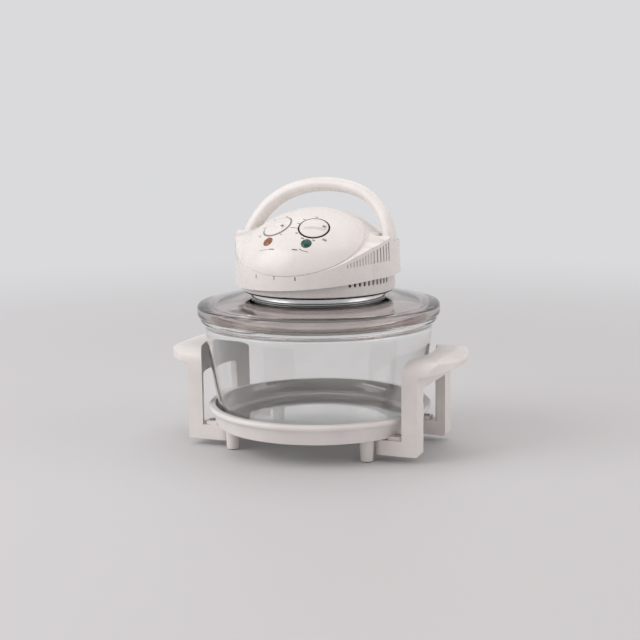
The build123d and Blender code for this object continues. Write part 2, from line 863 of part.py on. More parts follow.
with BuildPart() as cord_gland:
    with BuildSketch(facing(base_radius, rear)):
        with Locations((0, gland_z)):
            Circle(gland_flange_radius)
    extrude(amount=gland_flange)
    fillet(cord_gland.edges().group_by(Axis.Y)[-1], radius=gland_edge)
    with BuildSketch(facing(base_wall_in - gland_tail, rear)):
        with Locations((0, gland_z)):
            Circle(gland_radius)
    extrude(amount=gland_out - base_wall_in)
    with BuildSketch(facing(gland_out, rear)):
        with Locations((0, gland_z)):
            Circle(gland_bore)
    extrude(amount=base_wall_in - gland_tail - gland_out - over, mode=Mode.SUBTRACT)
finish(cord_gland, "cord_gland")

crease_plane = Plane(origin=(0, 0, crease_z), x_dir=(1, 0, 0), z_dir=(0, -crease_slope, 1))
seam_plane = Plane(origin=(0, 0, seam_z), x_dir=(1, 0, seam_cant), z_dir=(-seam_cant, -seam_slope, 1))
pivot_side = Plane(origin=(0, pivot_y, pivot_z), x_dir=(0, 1, 0), z_dir=(1, 0, 0))
wall_foot_radius = wall_radius + draft * (shoulder_z - base_z)
pocket_in = handle_span - bar_half_thickness - pocket_flare
pocket_out = handle_span + bar_half_thickness + pocket_gap
hub_in = handle_span - bar_half_thickness - hub_gap
hub_radius = bar_half_width
switch_out = pocket_in - head_wall  # the switch lies against the inner wall of the pocket
switch_z = pivot_z - switch_drop


def dome_form(inset):
    """The domed top and the straight wall below it, moved inwards by inset."""
    join = degrees(atan2(shoulder_z - crown_z, wall_radius - dome_corner))
    with BuildPart() as form:
        with BuildSketch(upright()):
            with BuildLine():
                CenterArc((wall_radius - dome_corner, shoulder_z), dome_corner - inset, 0, join)
                CenterArc((0, crown_z), crown_radius - inset, join, 90 - join)
                Polyline(
                    (0, dome_top - inset),
                    (0, base_z),
                    (wall_foot_radius - inset, base_z),
                    (wall_radius - inset, shoulder_z),
                )
            make_face()
        revolve(axis=Axis.Z)
    return form.part


def tub_form(inset):
    """The drafted tub with an ear each side, cut off by the roof line that falls from the ears."""
    peak = roof_peak - inset
    fall = roof_slope * bench
    with BuildPart() as form:
        with BuildSketch(level(base_z)):
            Circle(wall_foot_radius - inset)
            with Locations((ear_reach - ear_round, pivot_y), (ear_round - ear_reach, pivot_y)):
                Circle(ear_round - inset)
        extrude(amount=roof_peak - base_z, taper=wall_draft)
        with BuildSketch(Plane.YZ) as roof:
            with BuildLine():
                Polyline(
                    (pivot_y, peak),
                    (pivot_y - bench, peak - fall),
                    (pivot_y - bench, base_z - fall),
                    (pivot_y + bench, base_z - fall),
                    (pivot_y + bench, peak - fall),
                    close=True,
                )
            make_face()
            fillet(roof.vertices().sort_by(Axis.Y)[-1], radius=roof_round - inset)
        extrude(amount=bench, both=True, mode=Mode.INTERSECT)
    return form.part


def head_form(inset):
    """Outside of the upper shell, or its inside when inset by the wall."""
    with BuildPart() as form:
        add(tub_form(inset))
        add(dome_form(panel_step + inset))
    return form.part


def pocket_form(grow):
    """Both pockets that the hubs and arms of the carry handle swing in."""
    reach = hub_radius + pocket_gap + grow
    with BuildPart() as form:
        with BuildSketch(pivot_side.offset(pocket_in - grow)):
            Circle(reach)
            for lean in (0, handle_swing_back + handle_lean):
                with Locations(Location((0, 0, 0), -lean)):
                    Rectangle(2 * reach, bench / 4, align=(Align.CENTER, Align.MIN))
            with BuildLine():
                far = bench / 4
                back = radians(handle_swing_back + handle_lean)
                Polyline((0, 0), (0, far), (far * sin(back), far * cos(back)), close=True)
            make_face()
        extrude(amount=pocket_out - pocket_in + grow)
        mirror(about=Plane.YZ)
    return form.part


head_outside = head_form(0)
head_inside = head_form(head_wall)
head_skin = head_form(head_wall / 3)
pockets = pocket_form(0)
pocket_walls = pocket_form(head_wall)

with BuildPart() as inner_walls:
    add(pocket_walls)
    for side in (-1, 1):
        with BuildSketch(pivot_side.offset(side * pocket_in)):
            Circle(hub_boss_radius)
        extrude(amount=side * (hub_in - pocket_in))
    with BuildSketch(level(base_floor)):
        with GridLocations(boss_spacing_x, boss_spacing_y, 2, 2):
            Circle(boss_radius)
    extrude(amount=dome_top - base_floor)
    add(head_skin, mode=Mode.INTERSECT)

with BuildPart() as head_shell:
    add(head_outside)
    add(head_inside, mode=Mode.SUBTRACT)
    split(bisect_by=seam_plane, keep=Keep.TOP)
    add(inner_walls.part)
    add(pockets, mode=Mode.SUBTRACT)
    for side in (-1, 1):
        with BuildSketch(pivot_side.offset(side * pocket_in)):
            Circle(hub_boss_radius)
        extrude(amount=side * (hub_in - pocket_in))
    split(bisect_by=crease_plane, keep=Keep.BOTTOM)
    for side in (-1, 1):
        with BuildSketch(pivot_side.offset(side * (pocket_in - head_wall - over))):
            Circle(pin_radius + fit_gap)
        pin_hole = pocket_out + pin_bite - pocket_in + head_wall + over
        extrude(amount=side * pin_hole, mode=Mode.SUBTRACT)
        for index in range(rib_count):
            turn = front + side * (rib_start + index * rib_pitch)
            low = rib_low + index * rib_climb
            high = roof_peak - roof_slope * (wall_radius * abs(sin(radians(turn))) + pivot_y) - rib_margin
            with BuildSketch(facing(pocket_out - 2 * head_wall, turn)):
                with Locations((0, (low + high) / 2)):
                    SlotOverall(high - low, rib_width, rotation=90)
            extrude(amount=5 * head_wall, mode=Mode.SUBTRACT)
    for turn in front_slot_turns:
        with BuildSketch(facing(base_wall_in - over, front + turn)):
            with Locations((0, front_slot_z)):
                Rectangle(front_slot_width, front_slot_height)
        extrude(amount=wall_radius, mode=Mode.SUBTRACT)
    with BuildSketch(level(base_floor)):
        with GridLocations(boss_spacing_x, boss_spacing_y, 2, 2):
            Circle(base_screw_radius + fit_gap)
    extrude(amount=base_screw_length, mode=Mode.SUBTRACT)
    with BuildSketch(facing(switch_out - over)):
        with Locations((pivot_y, switch_z)):
            Circle(plunger_radius + shaft_gap)
    extrude(amount=head_wall + 2 * over, mode=Mode.SUBTRACT)
finish(head_shell, "head_shell")

# ---------------------------------------------------------------- controls

knob_planes = {side: on_dome(side * knob_out, knob_front) for side in (-1, 1)}
lens_planes = {side: on_dome(side * lens_out, lens_front) for side in (-1, 1)}
well_radius = knob_radius + well_gap
backing_low = -well_depth - well_backing  # along a knob's axis, from the surface of the dome

dome_outside = dome_form(0)
dome_inside = dome_form(head_wall)

with BuildPart() as control_panel:
    add(dome_outside)
    add(dome_inside, mode=Mode.SUBTRACT)
    split(bisect_by=crease_plane, keep=Keep.TOP)
    fillet(control_panel.edges().sort_by(SortBy.LENGTH)[-1], radius=panel_edge)
    for side in (-1, 1):
        knob_plane = knob_planes[side]
        with BuildSketch(knob_plane.offset(backing_low)):
            Circle(well_radius + well_rim)
        extrude(amount=well_backing)
        with BuildSketch(knob_plane.offset(-well_depth)):
            Circle(well_radius)
        extrude(amount=knob_height, mode=Mode.SUBTRACT)
        with BuildSketch(knob_plane.offset(backing_low)):
            Circle(spindle_radius + seat_gap)
        extrude(amount=well_backing, mode=Mode.SUBTRACT)
        with BuildSketch(lens_planes[side].offset(-lens_length)):
            Circle(lens_radius + hole_gap)
        extrude(amount=2 * lens_length, mode=Mode.SUBTRACT)
finish(control_panel, "control_panel")

with BuildPart() as knob_seals:
    for side in (-1, 1):
        with BuildSketch(knob_planes[side].offset(-well_depth)):
            Circle(well_radius - hole_gap)
            Circle(well_radius - hole_gap - seal_width, mode=Mode.SUBTRACT)
        extrude(amount=knob_lift - seat_gap)
finish(knob_seals, "knob_seals")


def knob(side):
    """Round knob with a low grip bar across it and a blind bore for its spindle."""
    knob_plane = knob_planes[side].offset(knob_seat)
    with BuildPart() as body:
        with BuildSketch(knob_plane):
            Circle(knob_radius)
        extrude(amount=knob_height, taper=knob_draft)
        fillet(body.edges().filter_by(GeomType.CIRCLE).sort_by(knob_axis(side))[-1], radius=knob_crown)
        with BuildSketch(knob_plane):
            RectangleRounded(2 * knob_radius - 2 * knob_crown, grip_width, grip_width / 2.2)
        extrude(amount=knob_height + grip_rise, taper=knob_draft)
        fillet(body.faces().sort_by(knob_axis(side))[-1].edges(), radius=grip_edge)
        with BuildSketch(knob_plane):
            Circle(spindle_radius)
        extrude(amount=spindle_grip, mode=Mode.SUBTRACT)
    return body


def knob_axis(side):
    """Axis of a knob, outwards."""
    return Axis(knob_planes[side].origin, knob_planes[side].z_dir)


def spindle(side):
    """Spindle from inside a switch unit up into its knob."""
    with BuildPart() as rod:
        with BuildSketch(knob_planes[side].offset(backing_low - spindle_tail)):
            Circle(spindle_radius)
        extrude(amount=spindle_tail - backing_low + knob_seat + spindle_grip)
    return rod


timer_knob = knob(-1)
finish(timer_knob, "timer_knob")
thermostat_knob = knob(1)
finish(thermostat_knob, "thermostat_knob")
timer_spindle = spindle(-1)
finish(timer_spindle, "timer_spindle")
thermostat_spindle = spindle(1)
finish(thermostat_spindle, "thermostat_spindle")

with BuildPart() as timer_unit:
    with BuildSketch(knob_planes[-1].offset(backing_low)):
        RectangleRounded(2 * timer_half_width, 2 * timer_half_width, timer_half_width / 2)
    extrude(amount=-timer_depth)
    with BuildSketch(knob_planes[-1].offset(backing_low)):
        Circle(spindle_radius + shaft_gap)
    extrude(amount=-spindle_tail - seat_gap, mode=Mode.SUBTRACT)
finish(timer_unit, "timer_unit")

with BuildPart() as thermostat_unit:
    with BuildSketch(knob_planes[1].offset(backing_low)):
        Circle(thermostat_radius)
    extrude(amount=-thermostat_depth)
    with BuildSketch(knob_planes[1].offset(backing_low)):
        Circle(spindle_radius + shaft_gap)
    extrude(amount=-spindle_tail - seat_gap, mode=Mode.SUBTRACT)
finish(thermostat_unit, "thermostat_unit")


def lens(side):
    """Domed light lens pushed through the panel."""
    lens_plane = lens_planes[side]
    with BuildPart() as body:
        with BuildSketch(lens_plane.offset(lens_proud)):
            Circle(lens_radius)
        extrude(amount=-lens_length)
        fillet(body.edges().sort_by(Axis(lens_plane.origin, lens_plane.z_dir))[-1], radius=lens_proud)
    return body


heat_lens = lens(-1)
finish(heat_lens, "heat_lens")
power_lens = lens(1)
finish(power_lens, "power_lens")

# ---------------------------------------------------------------- carry handle and safety switch

lean_sin = sin(radians(handle_lean))
lean_cos = cos(radians(handle_lean))
arch_plane = Plane(origin=pivot_side.origin, x_dir=(1, 0, 0), z_dir=(0, -lean_cos, lean_sin))
arm_plane = Plane(origin=pivot_side.origin, x_dir=(0, -lean_cos, lean_sin), z_dir=(-1, 0, 0))

with BuildPart() as carry_handle:
    with BuildSketch(arch_plane):
        with BuildLine():
            three_arcs(handle_span, handle_rise, handle_shoulder, -bar_half_thickness, 2 * bar_half_width)
        make_face()
        with BuildLine():
            three_arcs(handle_span, handle_rise, handle_shoulder, bar_half_thickness, 2 * bar_half_width)
        make_face(mode=Mode.SUBTRACT)
    extrude(amount=2 * bar_half_width, both=True)
    with BuildSketch(arm_plane):
        Circle(hub_radius)
        Rectangle(2 * bar_half_width, 2 * handle_rise, align=(Align.CENTER, Align.MIN))
    extrude(amount=2 * handle_span, both=True, mode=Mode.INTERSECT)
    fillet(carry_handle.edges(), radius=bar_round)
    with BuildSketch(arm_plane):
        Circle(pin_radius + shaft_gap)
    extrude(amount=2 * handle_span, both=True, mode=Mode.SUBTRACT)
finish(carry_handle, "carry_handle")

with BuildPart() as pivot_pins:
    for side in (-1, 1):
        with BuildSketch(pivot_side.offset(side * (pocket_in - head_wall))):
            Circle(pin_head_radius)
        extrude(amount=-side * pin_head_height)
        with BuildSketch(pivot_side.offset(side * (pocket_in - head_wall))):
            Circle(pin_radius)
        extrude(amount=side * (pocket_out + pin_bite - pocket_in + head_wall - hole_gap))
finish(pivot_pins, "pivot_pins")

with BuildPart() as microswitch:
    with BuildSketch(facing(switch_out)):
        with Locations((pivot_y, switch_z + switch_above)):
            Rectangle(switch_width, switch_height, align=(Align.CENTER, Align.MAX))
    extrude(amount=-switch_length)
    with BuildSketch(facing(switch_out)):
        with Locations((pivot_y, switch_z)):
            Circle(plunger_radius + shaft_gap)
    extrude(amount=-plunger_tail - plunger_travel - seat_gap, mode=Mode.SUBTRACT)
finish(microswitch, "microswitch")

with BuildPart() as switch_plunger:
    with BuildSketch(facing(switch_out - plunger_tail)):
        with Locations((pivot_y, switch_z)):
            Circle(plunger_radius)
    extrude(amount=plunger_tail + head_wall + plunger_travel)
finish(switch_plunger, "switch_plunger")

with BuildPart() as base_screws:
    with BuildSketch(level(base_z)):
        with GridLocations(boss_spacing_x, boss_spacing_y, 2, 2):
            Circle(base_screw_head)
    extrude(amount=head_wall / 2)
    with BuildSketch(level(base_z)):
        with GridLocations(boss_spacing_x, boss_spacing_y, 2, 2):
            Circle(base_screw_radius)
    extrude(amount=base_screw_length + head_wall / 2)
finish(base_screws, "base_screws")
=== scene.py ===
from math import atan2, cos, pi, radians, sin, sqrt, tan

import bpy
from mathutils import Matrix, Vector


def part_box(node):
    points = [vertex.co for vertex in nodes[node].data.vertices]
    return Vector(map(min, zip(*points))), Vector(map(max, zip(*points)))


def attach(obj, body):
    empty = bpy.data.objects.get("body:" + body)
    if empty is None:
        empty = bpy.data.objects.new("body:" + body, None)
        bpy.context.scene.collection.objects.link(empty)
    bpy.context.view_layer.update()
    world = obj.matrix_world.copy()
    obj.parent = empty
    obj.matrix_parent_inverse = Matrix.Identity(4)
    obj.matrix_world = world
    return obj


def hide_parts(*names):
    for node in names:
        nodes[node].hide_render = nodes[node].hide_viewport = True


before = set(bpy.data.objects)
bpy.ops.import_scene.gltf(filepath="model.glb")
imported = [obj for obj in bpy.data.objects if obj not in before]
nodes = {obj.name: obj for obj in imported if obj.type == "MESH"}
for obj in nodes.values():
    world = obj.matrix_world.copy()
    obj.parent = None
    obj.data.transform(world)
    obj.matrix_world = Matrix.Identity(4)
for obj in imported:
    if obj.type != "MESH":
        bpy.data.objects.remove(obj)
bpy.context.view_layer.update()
mm = 0.001
imageSize = 640
print("frame loaded,", len(nodes), "nodes")

# Materials. Colours are sRGB hex values, patterns are sized in millimetres on Object coordinates.


def linearColor(hexColor, alpha=1.0):
    channels = [int(hexColor[i:i + 2], 16) / 255 for i in (1, 3, 5)]
    return [c / 12.92 if c <= 0.04045 else ((c + 0.055) / 1.055) ** 2.4 for c in channels] + [alpha]


def newMaterial(name):
    material = bpy.data.materials.new(name)
    material.use_nodes = True
    material.node_tree.nodes.clear()
    return material


def addNode(material, kind, inputs, **settings):
    node = material.node_tree.nodes.new(kind)
    for key, value in settings.items():
        setattr(node, key, value)
    for key, value in inputs.items():
        if isinstance(value, bpy.types.NodeSocket):
            material.node_tree.links.new(value, node.inputs[key])
        else:
            node.inputs[key].default_value = value
    return node


def patternNoise(material, sizeMm, detail=2.0, stretch=(1, 1, 1)):
    place = addNode(material, "ShaderNodeTexCoord", {})
    mapping = addNode(material, "ShaderNodeMapping", {"Vector": place.outputs["Object"], "Scale": stretch})
    return addNode(
        material, "ShaderNodeTexNoise",
        {"Vector": mapping.outputs["Vector"], "Scale": 1 / (sizeMm * mm), "Detail": detail},
    )


def spread(material, source, low, high, fromLow=0.35, fromHigh=0.65):
    return addNode(
        material, "ShaderNodeMapRange",
        {"Value": source, "From Min": fromLow, "From Max": fromHigh, "To Min": low, "To Max": high},
    ).outputs["Result"]


def surface(material, inputs):
    shader = addNode(material, "ShaderNodeBsdfPrincipled", inputs)
    addNode(material, "ShaderNodeOutputMaterial", {"Surface": shader.outputs["BSDF"]})
    return shader


looks = {  # sizes of the slow patterns that all pieces of one kind of material share
    "cloudMm": 45,
    "glossMm": 12,
    "hazeMm": 30,
    "plasticIor": 1.49,
    "glassIor": 1.5,
}


def mouldedPlastic(name, base, worn, roughness, grainMm, grainDepth, shine=0.5):
    # injection-moulded plastic: two close tints in soft clouds, a fine orange peel and uneven gloss
    material = newMaterial(name)
    clouds = patternNoise(material, looks["cloudMm"])
    tint = addNode(
        material, "ShaderNodeMix",
        {
            "Factor": spread(material, clouds.outputs["Fac"], 0, 1),
            "A": linearColor(base), "B": linearColor(worn),
        },
        data_type="RGBA",
    )
    gloss = patternNoise(material, looks["glossMm"], 4)
    peel = patternNoise(material, grainMm, 3)
    bump = addNode(
        material, "ShaderNodeBump",
        {"Height": peel.outputs["Fac"], "Strength": 0.35, "Distance": grainDepth * mm},
    )
    surface(material, {
        "Base Color": tint.outputs["Result"],
        "Roughness": spread(material, gloss.outputs["Fac"], roughness * 0.85, roughness * 1.2),
        "IOR": looks["plasticIor"],
        "Specular IOR Level": shine,
        "Normal": bump.outputs["Normal"],
    })
    return material


def pressedGlass(name, color, tint, roughness, rippleMm, rippleDepth):
    # tempered glass: clear, with the faint long ripples that pressing leaves
    material = newMaterial(name)
    ripple = patternNoise(material, rippleMm, 1)
    haze = patternNoise(material, looks["hazeMm"], 3)
    bump = addNode(
        material, "ShaderNodeBump",
        {"Height": ripple.outputs["Fac"], "Strength": 0.2, "Distance": rippleDepth * mm},
    )
    shade = addNode(
        material, "ShaderNodeMix",
        {
            "Factor": spread(material, haze.outputs["Fac"], 0, 1),
            "A": linearColor(color), "B": linearColor(tint),
        },
        data_type="RGBA",
    )
    surface(material, {
        "Base Color": shade.outputs["Result"],
        "Roughness": spread(material, haze.outputs["Fac"], roughness * 0.5, roughness * 1.5),
        "IOR": looks["glassIor"],
        "Transmission Weight": 1.0,
        "Normal": bump.outputs["Normal"],
    })
    return material


def metal(name, color, dull, roughness, grainMm, stretch, depth):
    # bare or plated metal: streaks in colour and in gloss, drawn coarser than real ones so that they show
    material = newMaterial(name)
    streaks = patternNoise(material, grainMm, 3, stretch)
    tint = addNode(
        material, "ShaderNodeMix",
        {
            "Factor": spread(material, streaks.outputs["Fac"], 0, 1),
            "A": linearColor(color), "B": linearColor(dull),
        },
        data_type="RGBA",
    )
    bump = addNode(
        material, "ShaderNodeBump",
        {"Height": streaks.outputs["Fac"], "Strength": 0.25, "Distance": depth * mm},
    )
    surface(material, {
        "Base Color": tint.outputs["Result"],
        "Metallic": 1.0,
        "Roughness": spread(material, streaks.outputs["Fac"], roughness * 0.7, roughness * 1.4),
        "Normal": bump.outputs["Normal"],
    })
    return material


# polypropylene, moulded: a warm white, with a soft shine on the head and a duller one on the stand
whiteGloss = mouldedPlastic("mouldedGlossPolypropylene", "#F1EDEA", "#EBE6E3", 0.27, 0.9, 0.010)
whiteStand = mouldedPlastic("mouldedSatinPolypropylene", "#F0ECE9", "#E9E4E1", 0.36, 0.8, 0.014)
# nylon, moulded: near black and half matt
blackNylon = mouldedPlastic("mouldedBlackNylon", "#141414", "#1C1B1A", 0.45, 0.7, 0.02)
# rubber, moulded: a dead black with hardly a highlight, and grey and pale mixes for pads and seals; on the
# knobs' seals the black and the pale are painted shade for the gap round each knob
siliconeRubber = mouldedPlastic("mouldedSiliconeRubber", "#080707", "#100F0F", 0.7, 0.5, 0.03, 0.2)
greyRubber = mouldedPlastic("mouldedGreyRubber", "#5B5957", "#4C4A48", 0.7, 0.5, 0.03)
paleRubber = mouldedPlastic("mouldedPaleRubber", "#9C9899", "#8C888A", 0.65, 0.5, 0.03, 0.3)
# ink, pad printed: thin grey marks that stay matt on the glossy plastic
printInk = mouldedPlastic("padPrintedInk", "#5E5857", "#524C4B", 0.6, 0.4, 0.01, 0.3)
markInk = mouldedPlastic("padPrintedPaleInk", "#8B8583", "#7F7977", 0.6, 0.4, 0.01, 0.3)
# polycarbonate, moulded: a deep colour under a sharp highlight
greenLens = mouldedPlastic("mouldedGreenPolycarbonate", "#008C78", "#00463C", 0.1, 2.6, 0.01)
amberLens = mouldedPlastic("mouldedAmberPolycarbonate", "#A0623E", "#614132", 0.1, 2.6, 0.01)
# steatite, fired: a chalky cream
steatite = mouldedPlastic("firedSteatite", "#E6E0D2", "#D8D0BF", 0.6, 0.4, 0.03)
# glass, pressed: slow ripples; the lid's is smoked, which gives it a brownish grey
clearGlass = pressedGlass("pressedClearGlass", "#FBFBFB", "#F8F9F8", 0.02, 28, 0.25)
smokedGlass = pressedGlass("pressedSmokedGlass", "#CFC5C2", "#C6BCB9", 0.04, 34, 0.2)
# quartz, drawn: warmer, with shorter ripples
quartz = pressedGlass("drawnQuartz", "#FAF4EA", "#F5EDDF", 0.03, 9, 0.1)
# steel, chrome plated: nearly a mirror
chromePlate = metal("polishedChromePlate", "#DEDCDB", "#D2D0CF", 0.09, 1.2, (1, 1, 3), 0.004)
# aluminium: soft and bright where it is spun, a little darker and streaked where it is rolled
spunAluminium = metal("spunSatinAluminium", "#F2F1F0", "#E6E5E4", 0.36, 1.0, (1, 1, 3), 0.004)
brightAluminium = metal("rolledBrightAluminium", "#D9D8D8", "#C6C5C5", 0.24, 0.8, (1, 6, 1), 0.01)
# tungsten wire, coiled: dark and ridged
tungstenCoil = metal("coiledTungsten", "#8E8B88", "#5E5B59", 0.4, 0.5, (1, 1, 1), 0.2)
# steel, zinc plated: bluish and cloudy
zincSteel = metal("zincPlatedSteel", "#B9B9BA", "#A3A3A5", 0.34, 0.9, (1, 1, 1), 0.02)
print("materials made:", len(bpy.data.materials))

# Modelling helpers


def deselectAll():
    if bpy.context.object and bpy.context.object.mode != "OBJECT":
        bpy.ops.object.mode_set(mode="OBJECT")
    bpy.ops.object.select_all(action="DESELECT")


def takeUp(piece):
    deselectAll()
    piece.select_set(True)
    bpy.context.view_layer.objects.active = piece


def placeInMesh(piece):
    takeUp(piece)
    bpy.ops.object.transform_apply(location=True, rotation=True, scale=True)


def applyModifier(piece, kind, **settings):
    takeUp(piece)
    modifier = piece.modifiers.new(kind.title(), kind)
    for key, value in settings.items():
        setattr(modifier, key, value)
    bpy.ops.object.modifier_apply(modifier=modifier.name)


def smoothBy(piece, angle=32):
    takeUp(piece)
    bpy.ops.object.shade_smooth_by_angle(angle=radians(angle))


def dress(piece, name, body, slot, material, replaced=()):
    piece.name = name
    piece.data.name = name
    piece.data.materials.clear()
    piece.data.materials.append(material)
    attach(piece, body)
    if replaced:
        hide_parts(*replaced)
    return piece


def cleanCopy(node, bevelMm=0.0, angle=32, segments=2):
    # a node's own shape with its triangles joined; before edges are eased, its flats are made whole
    takeUp(nodes[node])
    bpy.ops.object.duplicate()
    piece = bpy.context.object
    piece.parent = None
    for key in list(piece.keys()):
        del piece[key]
    bpy.ops.object.mode_set(mode="EDIT")
    bpy.ops.mesh.select_all(action="SELECT")
    bpy.ops.mesh.remove_doubles(threshold=0.002 * mm)
    if bevelMm:
        bpy.ops.mesh.dissolve_limited(angle_limit=radians(0.2))
    bpy.ops.object.mode_set(mode="OBJECT")
    if bevelMm:
        applyModifier(
            piece, "BEVEL", width=bevelMm * mm, segments=segments, limit_method="ANGLE",
            angle_limit=radians(40), use_clamp_overlap=True, harden_normals=False,
        )
    smoothBy(piece, angle)
    if bevelMm:
        applyModifier(piece, "WEIGHTED_NORMAL", keep_sharp=True)
    return piece


def coneForm(x, y, radius, height, draft=0.0):
    # a round wall about an upright axis, with its radius in mm at a height
    fall = tan(radians(draft))

    def form(point):
        across = Vector((point.x - x * mm, point.y - y * mm, 0))
        gap = across.length - (radius - (point.z / mm - height) * fall) * mm
        return gap, (across.normalized() + Vector((0, 0, fall))).normalized()
    return form


def ringForm(ringRadius, height, radius):
    # a round section turned about the oven's axis; with no ring radius it is a ball
    def form(point):
        across = Vector((point.x, point.y, 0))
        centre = across.normalized() * ringRadius * mm + Vector((0, 0, height * mm))
        return (point - centre).length - radius * mm, (point - centre).normalized()
    return form


def trueNormals(piece, forms, reach=0.03, agree=0.9):
    # faces that lie on one of the forms take the form's own normals, so long thin facets don't show
    mesh = piece.data
    normals = [Vector(corner.vector) for corner in mesh.corner_normals]
    for face in mesh.polygons:
        for form in forms:
            found = [form(mesh.vertices[index].co) for index in face.vertices]
            side = 1 if face.normal.dot(found[0][1]) > 0 else -1
            onForm = all(abs(gap) < reach * mm for gap, normal in found)
            if onForm and all(side * face.normal.dot(normal) > agree for gap, normal in found):
                for corner, (gap, normal) in zip(face.loop_indices, found):
                    normals[corner] = side * normal
                break
    mesh.normals_split_custom_set(normals)


def arcThrough(start, middle, end, steps=10):
    # points in mm along the arc through three points, without its first point
    (ax, ay), (bx, by), (cx, cy) = start, middle, end
    d = 2 * (ax * (by - cy) + bx * (cy - ay) + cx * (ay - by))
    sa, sb, sc = ax * ax + ay * ay, bx * bx + by * by, cx * cx + cy * cy
    ox = (sa * (by - cy) + sb * (cy - ay) + sc * (ay - by)) / d
    oy = (sa * (cx - bx) + sb * (ax - cx) + sc * (bx - ax)) / d
    radius = sqrt((ax - ox) ** 2 + (ay - oy) ** 2)
    first, last = atan2(ay - oy, ax - ox), atan2(cy - oy, cx - ox)
    half = atan2(by - oy, bx - ox)
    sweep = (last - first) % (2 * pi)
    if (half - first) % (2 * pi) > sweep:
        sweep -= 2 * pi
    return [
        (ox + radius * cos(first + sweep * i / steps), oy + radius * sin(first + sweep * i / steps))
        for i in range(1, steps + 1)
    ]


def turned(outline, count=160, solid=False):
    # a ring is drawn out along an outline of (radius, height) in mm, back to where it starts,
    # or, for a solid, a disc from the first radius to the last, so that both poles are closed
    deselectAll()
    radius, height = outline[0]
    bpy.ops.mesh.primitive_circle_add(
        vertices=count, radius=radius * mm, location=(0, 0, height * mm),
        fill_type="TRIFAN" if solid else "NOTHING",
    )
    piece = bpy.context.object
    placeInMesh(piece)
    bpy.ops.object.mode_set(mode="EDIT")
    bpy.ops.mesh.select_all(action="SELECT")
    for nextRadius, nextHeight in outline[1:] + ([] if solid else outline[:1]):
        bpy.ops.mesh.extrude_region_move(
            TRANSFORM_OT_translate={"value": (0, 0, (nextHeight - height) * mm)}
        )
        scale = nextRadius / radius
        if abs(scale - 1) > 1e-9:
            bpy.ops.transform.resize(value=(scale, scale, 1), center_override=(0, 0, 0))
        radius, height = nextRadius, nextHeight
    bpy.ops.mesh.select_all(action="SELECT")
    bpy.ops.mesh.remove_doubles(threshold=0.001 * mm)
    bpy.ops.mesh.normals_make_consistent(inside=False)
    bpy.ops.object.mode_set(mode="OBJECT")
    return piece


def boreTool(radius, length, place):
    # a round cutter in mm, laid along its own z, then placed
    deselectAll()
    bpy.ops.mesh.primitive_cylinder_add(vertices=48, radius=radius * mm, depth=length * mm)
    tool = bpy.context.object
    tool.matrix_world = place
    placeInMesh(tool)
    return tool


def cutAway(piece, tool):
    applyModifier(piece, "BOOLEAN", operation="DIFFERENCE", solver="EXACT", object=tool)
    bpy.data.objects.remove(tool)


# Camera

camera = {
    "turn": 27.0,  # degrees round from the front of the head
    "out": 1949.559,  # mm, as are the next two
    "side": 1.624,
    "height": 507.859,
    "pitch": 0.169,  # radians, as is the roll
    "roll": 0.012,
    "focalPixels": 1407.004,
    "sensor": 36.0,
    "clipEnd": 50,  # metres
}
cameraData = bpy.data.cameras.new("camera")
cameraData.sensor_width = camera["sensor"]
cameraData.lens = camera["focalPixels"] / imageSize * camera["sensor"]
cameraData.clip_end = camera["clipEnd"]
cameraObject = bpy.data.objects.new("camera", cameraData)
bpy.context.scene.collection.objects.link(cameraObject)
aim = Matrix.Rotation(radians(camera["turn"]), 4, "Z")
stand = Matrix.Translation(Vector((camera["side"], -camera["out"], camera["height"])) * mm)
tilt = Matrix.Rotation(pi / 2 - camera["pitch"], 4, "X") @ Matrix.Rotation(-camera["roll"], 4, "Z")
cameraObject.matrix_world = aim @ stand @ tilt
bpy.context.scene.camera = cameraObject
print("camera set")

# Studio: a pale floor that fades into the background, a soft world and three large lamps

studio = {
    "background": "#DADADC",
    "floor": "#D3D3D5",
    "floorSize": 12.0,  # metres, as are the next two
    "fadeFrom": 0.55,
    "fadeTo": 2.2,
    "ambient": 0.46,
    "ambientTint": "#FFF5F2",
    "lampAim": 0.2,  # height in metres that all lamps point at
    "lamps": [  # name, place in metres seen from the camera's side, size, watts
        ("keyLamp", (-2.4, -0.7, 1.8), 2.2, 42),
        ("fillLamp", (2.4, -0.7, 1.3), 1.8, 15),
        ("topLamp", (0.1, 0.3, 2.6), 2.4, 19),
    ],
}
bpy.ops.mesh.primitive_circle_add(vertices=96, radius=studio["floorSize"], fill_type="NGON")
floor = bpy.context.object
floor.name = "floor"
floorMaterial = newMaterial("paintedFloor")
place = addNode(floorMaterial, "ShaderNodeTexCoord", {})
distance = addNode(floorMaterial, "ShaderNodeVectorMath", {0: place.outputs["Object"]}, operation="LENGTH")
fade = addNode(
    floorMaterial, "ShaderNodeMapRange",
    {"Value": distance.outputs["Value"], "From Min": studio["fadeFrom"], "From Max": studio["fadeTo"]},
    interpolation_type="SMOOTHSTEP",
)
paint = addNode(
    floorMaterial, "ShaderNodeBsdfPrincipled",
    {"Base Color": linearColor(studio["floor"]), "Roughness": 0.55},
)
glow = addNode(floorMaterial, "ShaderNodeEmission", {"Color": linearColor(studio["background"])})
blend = addNode(
    floorMaterial, "ShaderNodeMixShader",
    {0: fade.outputs["Result"], 1: paint.outputs["BSDF"], 2: glow.outputs["Emission"]},
)
addNode(floorMaterial, "ShaderNodeOutputMaterial", {"Surface": blend.outputs["Shader"]})
floor.data.materials.append(floorMaterial)

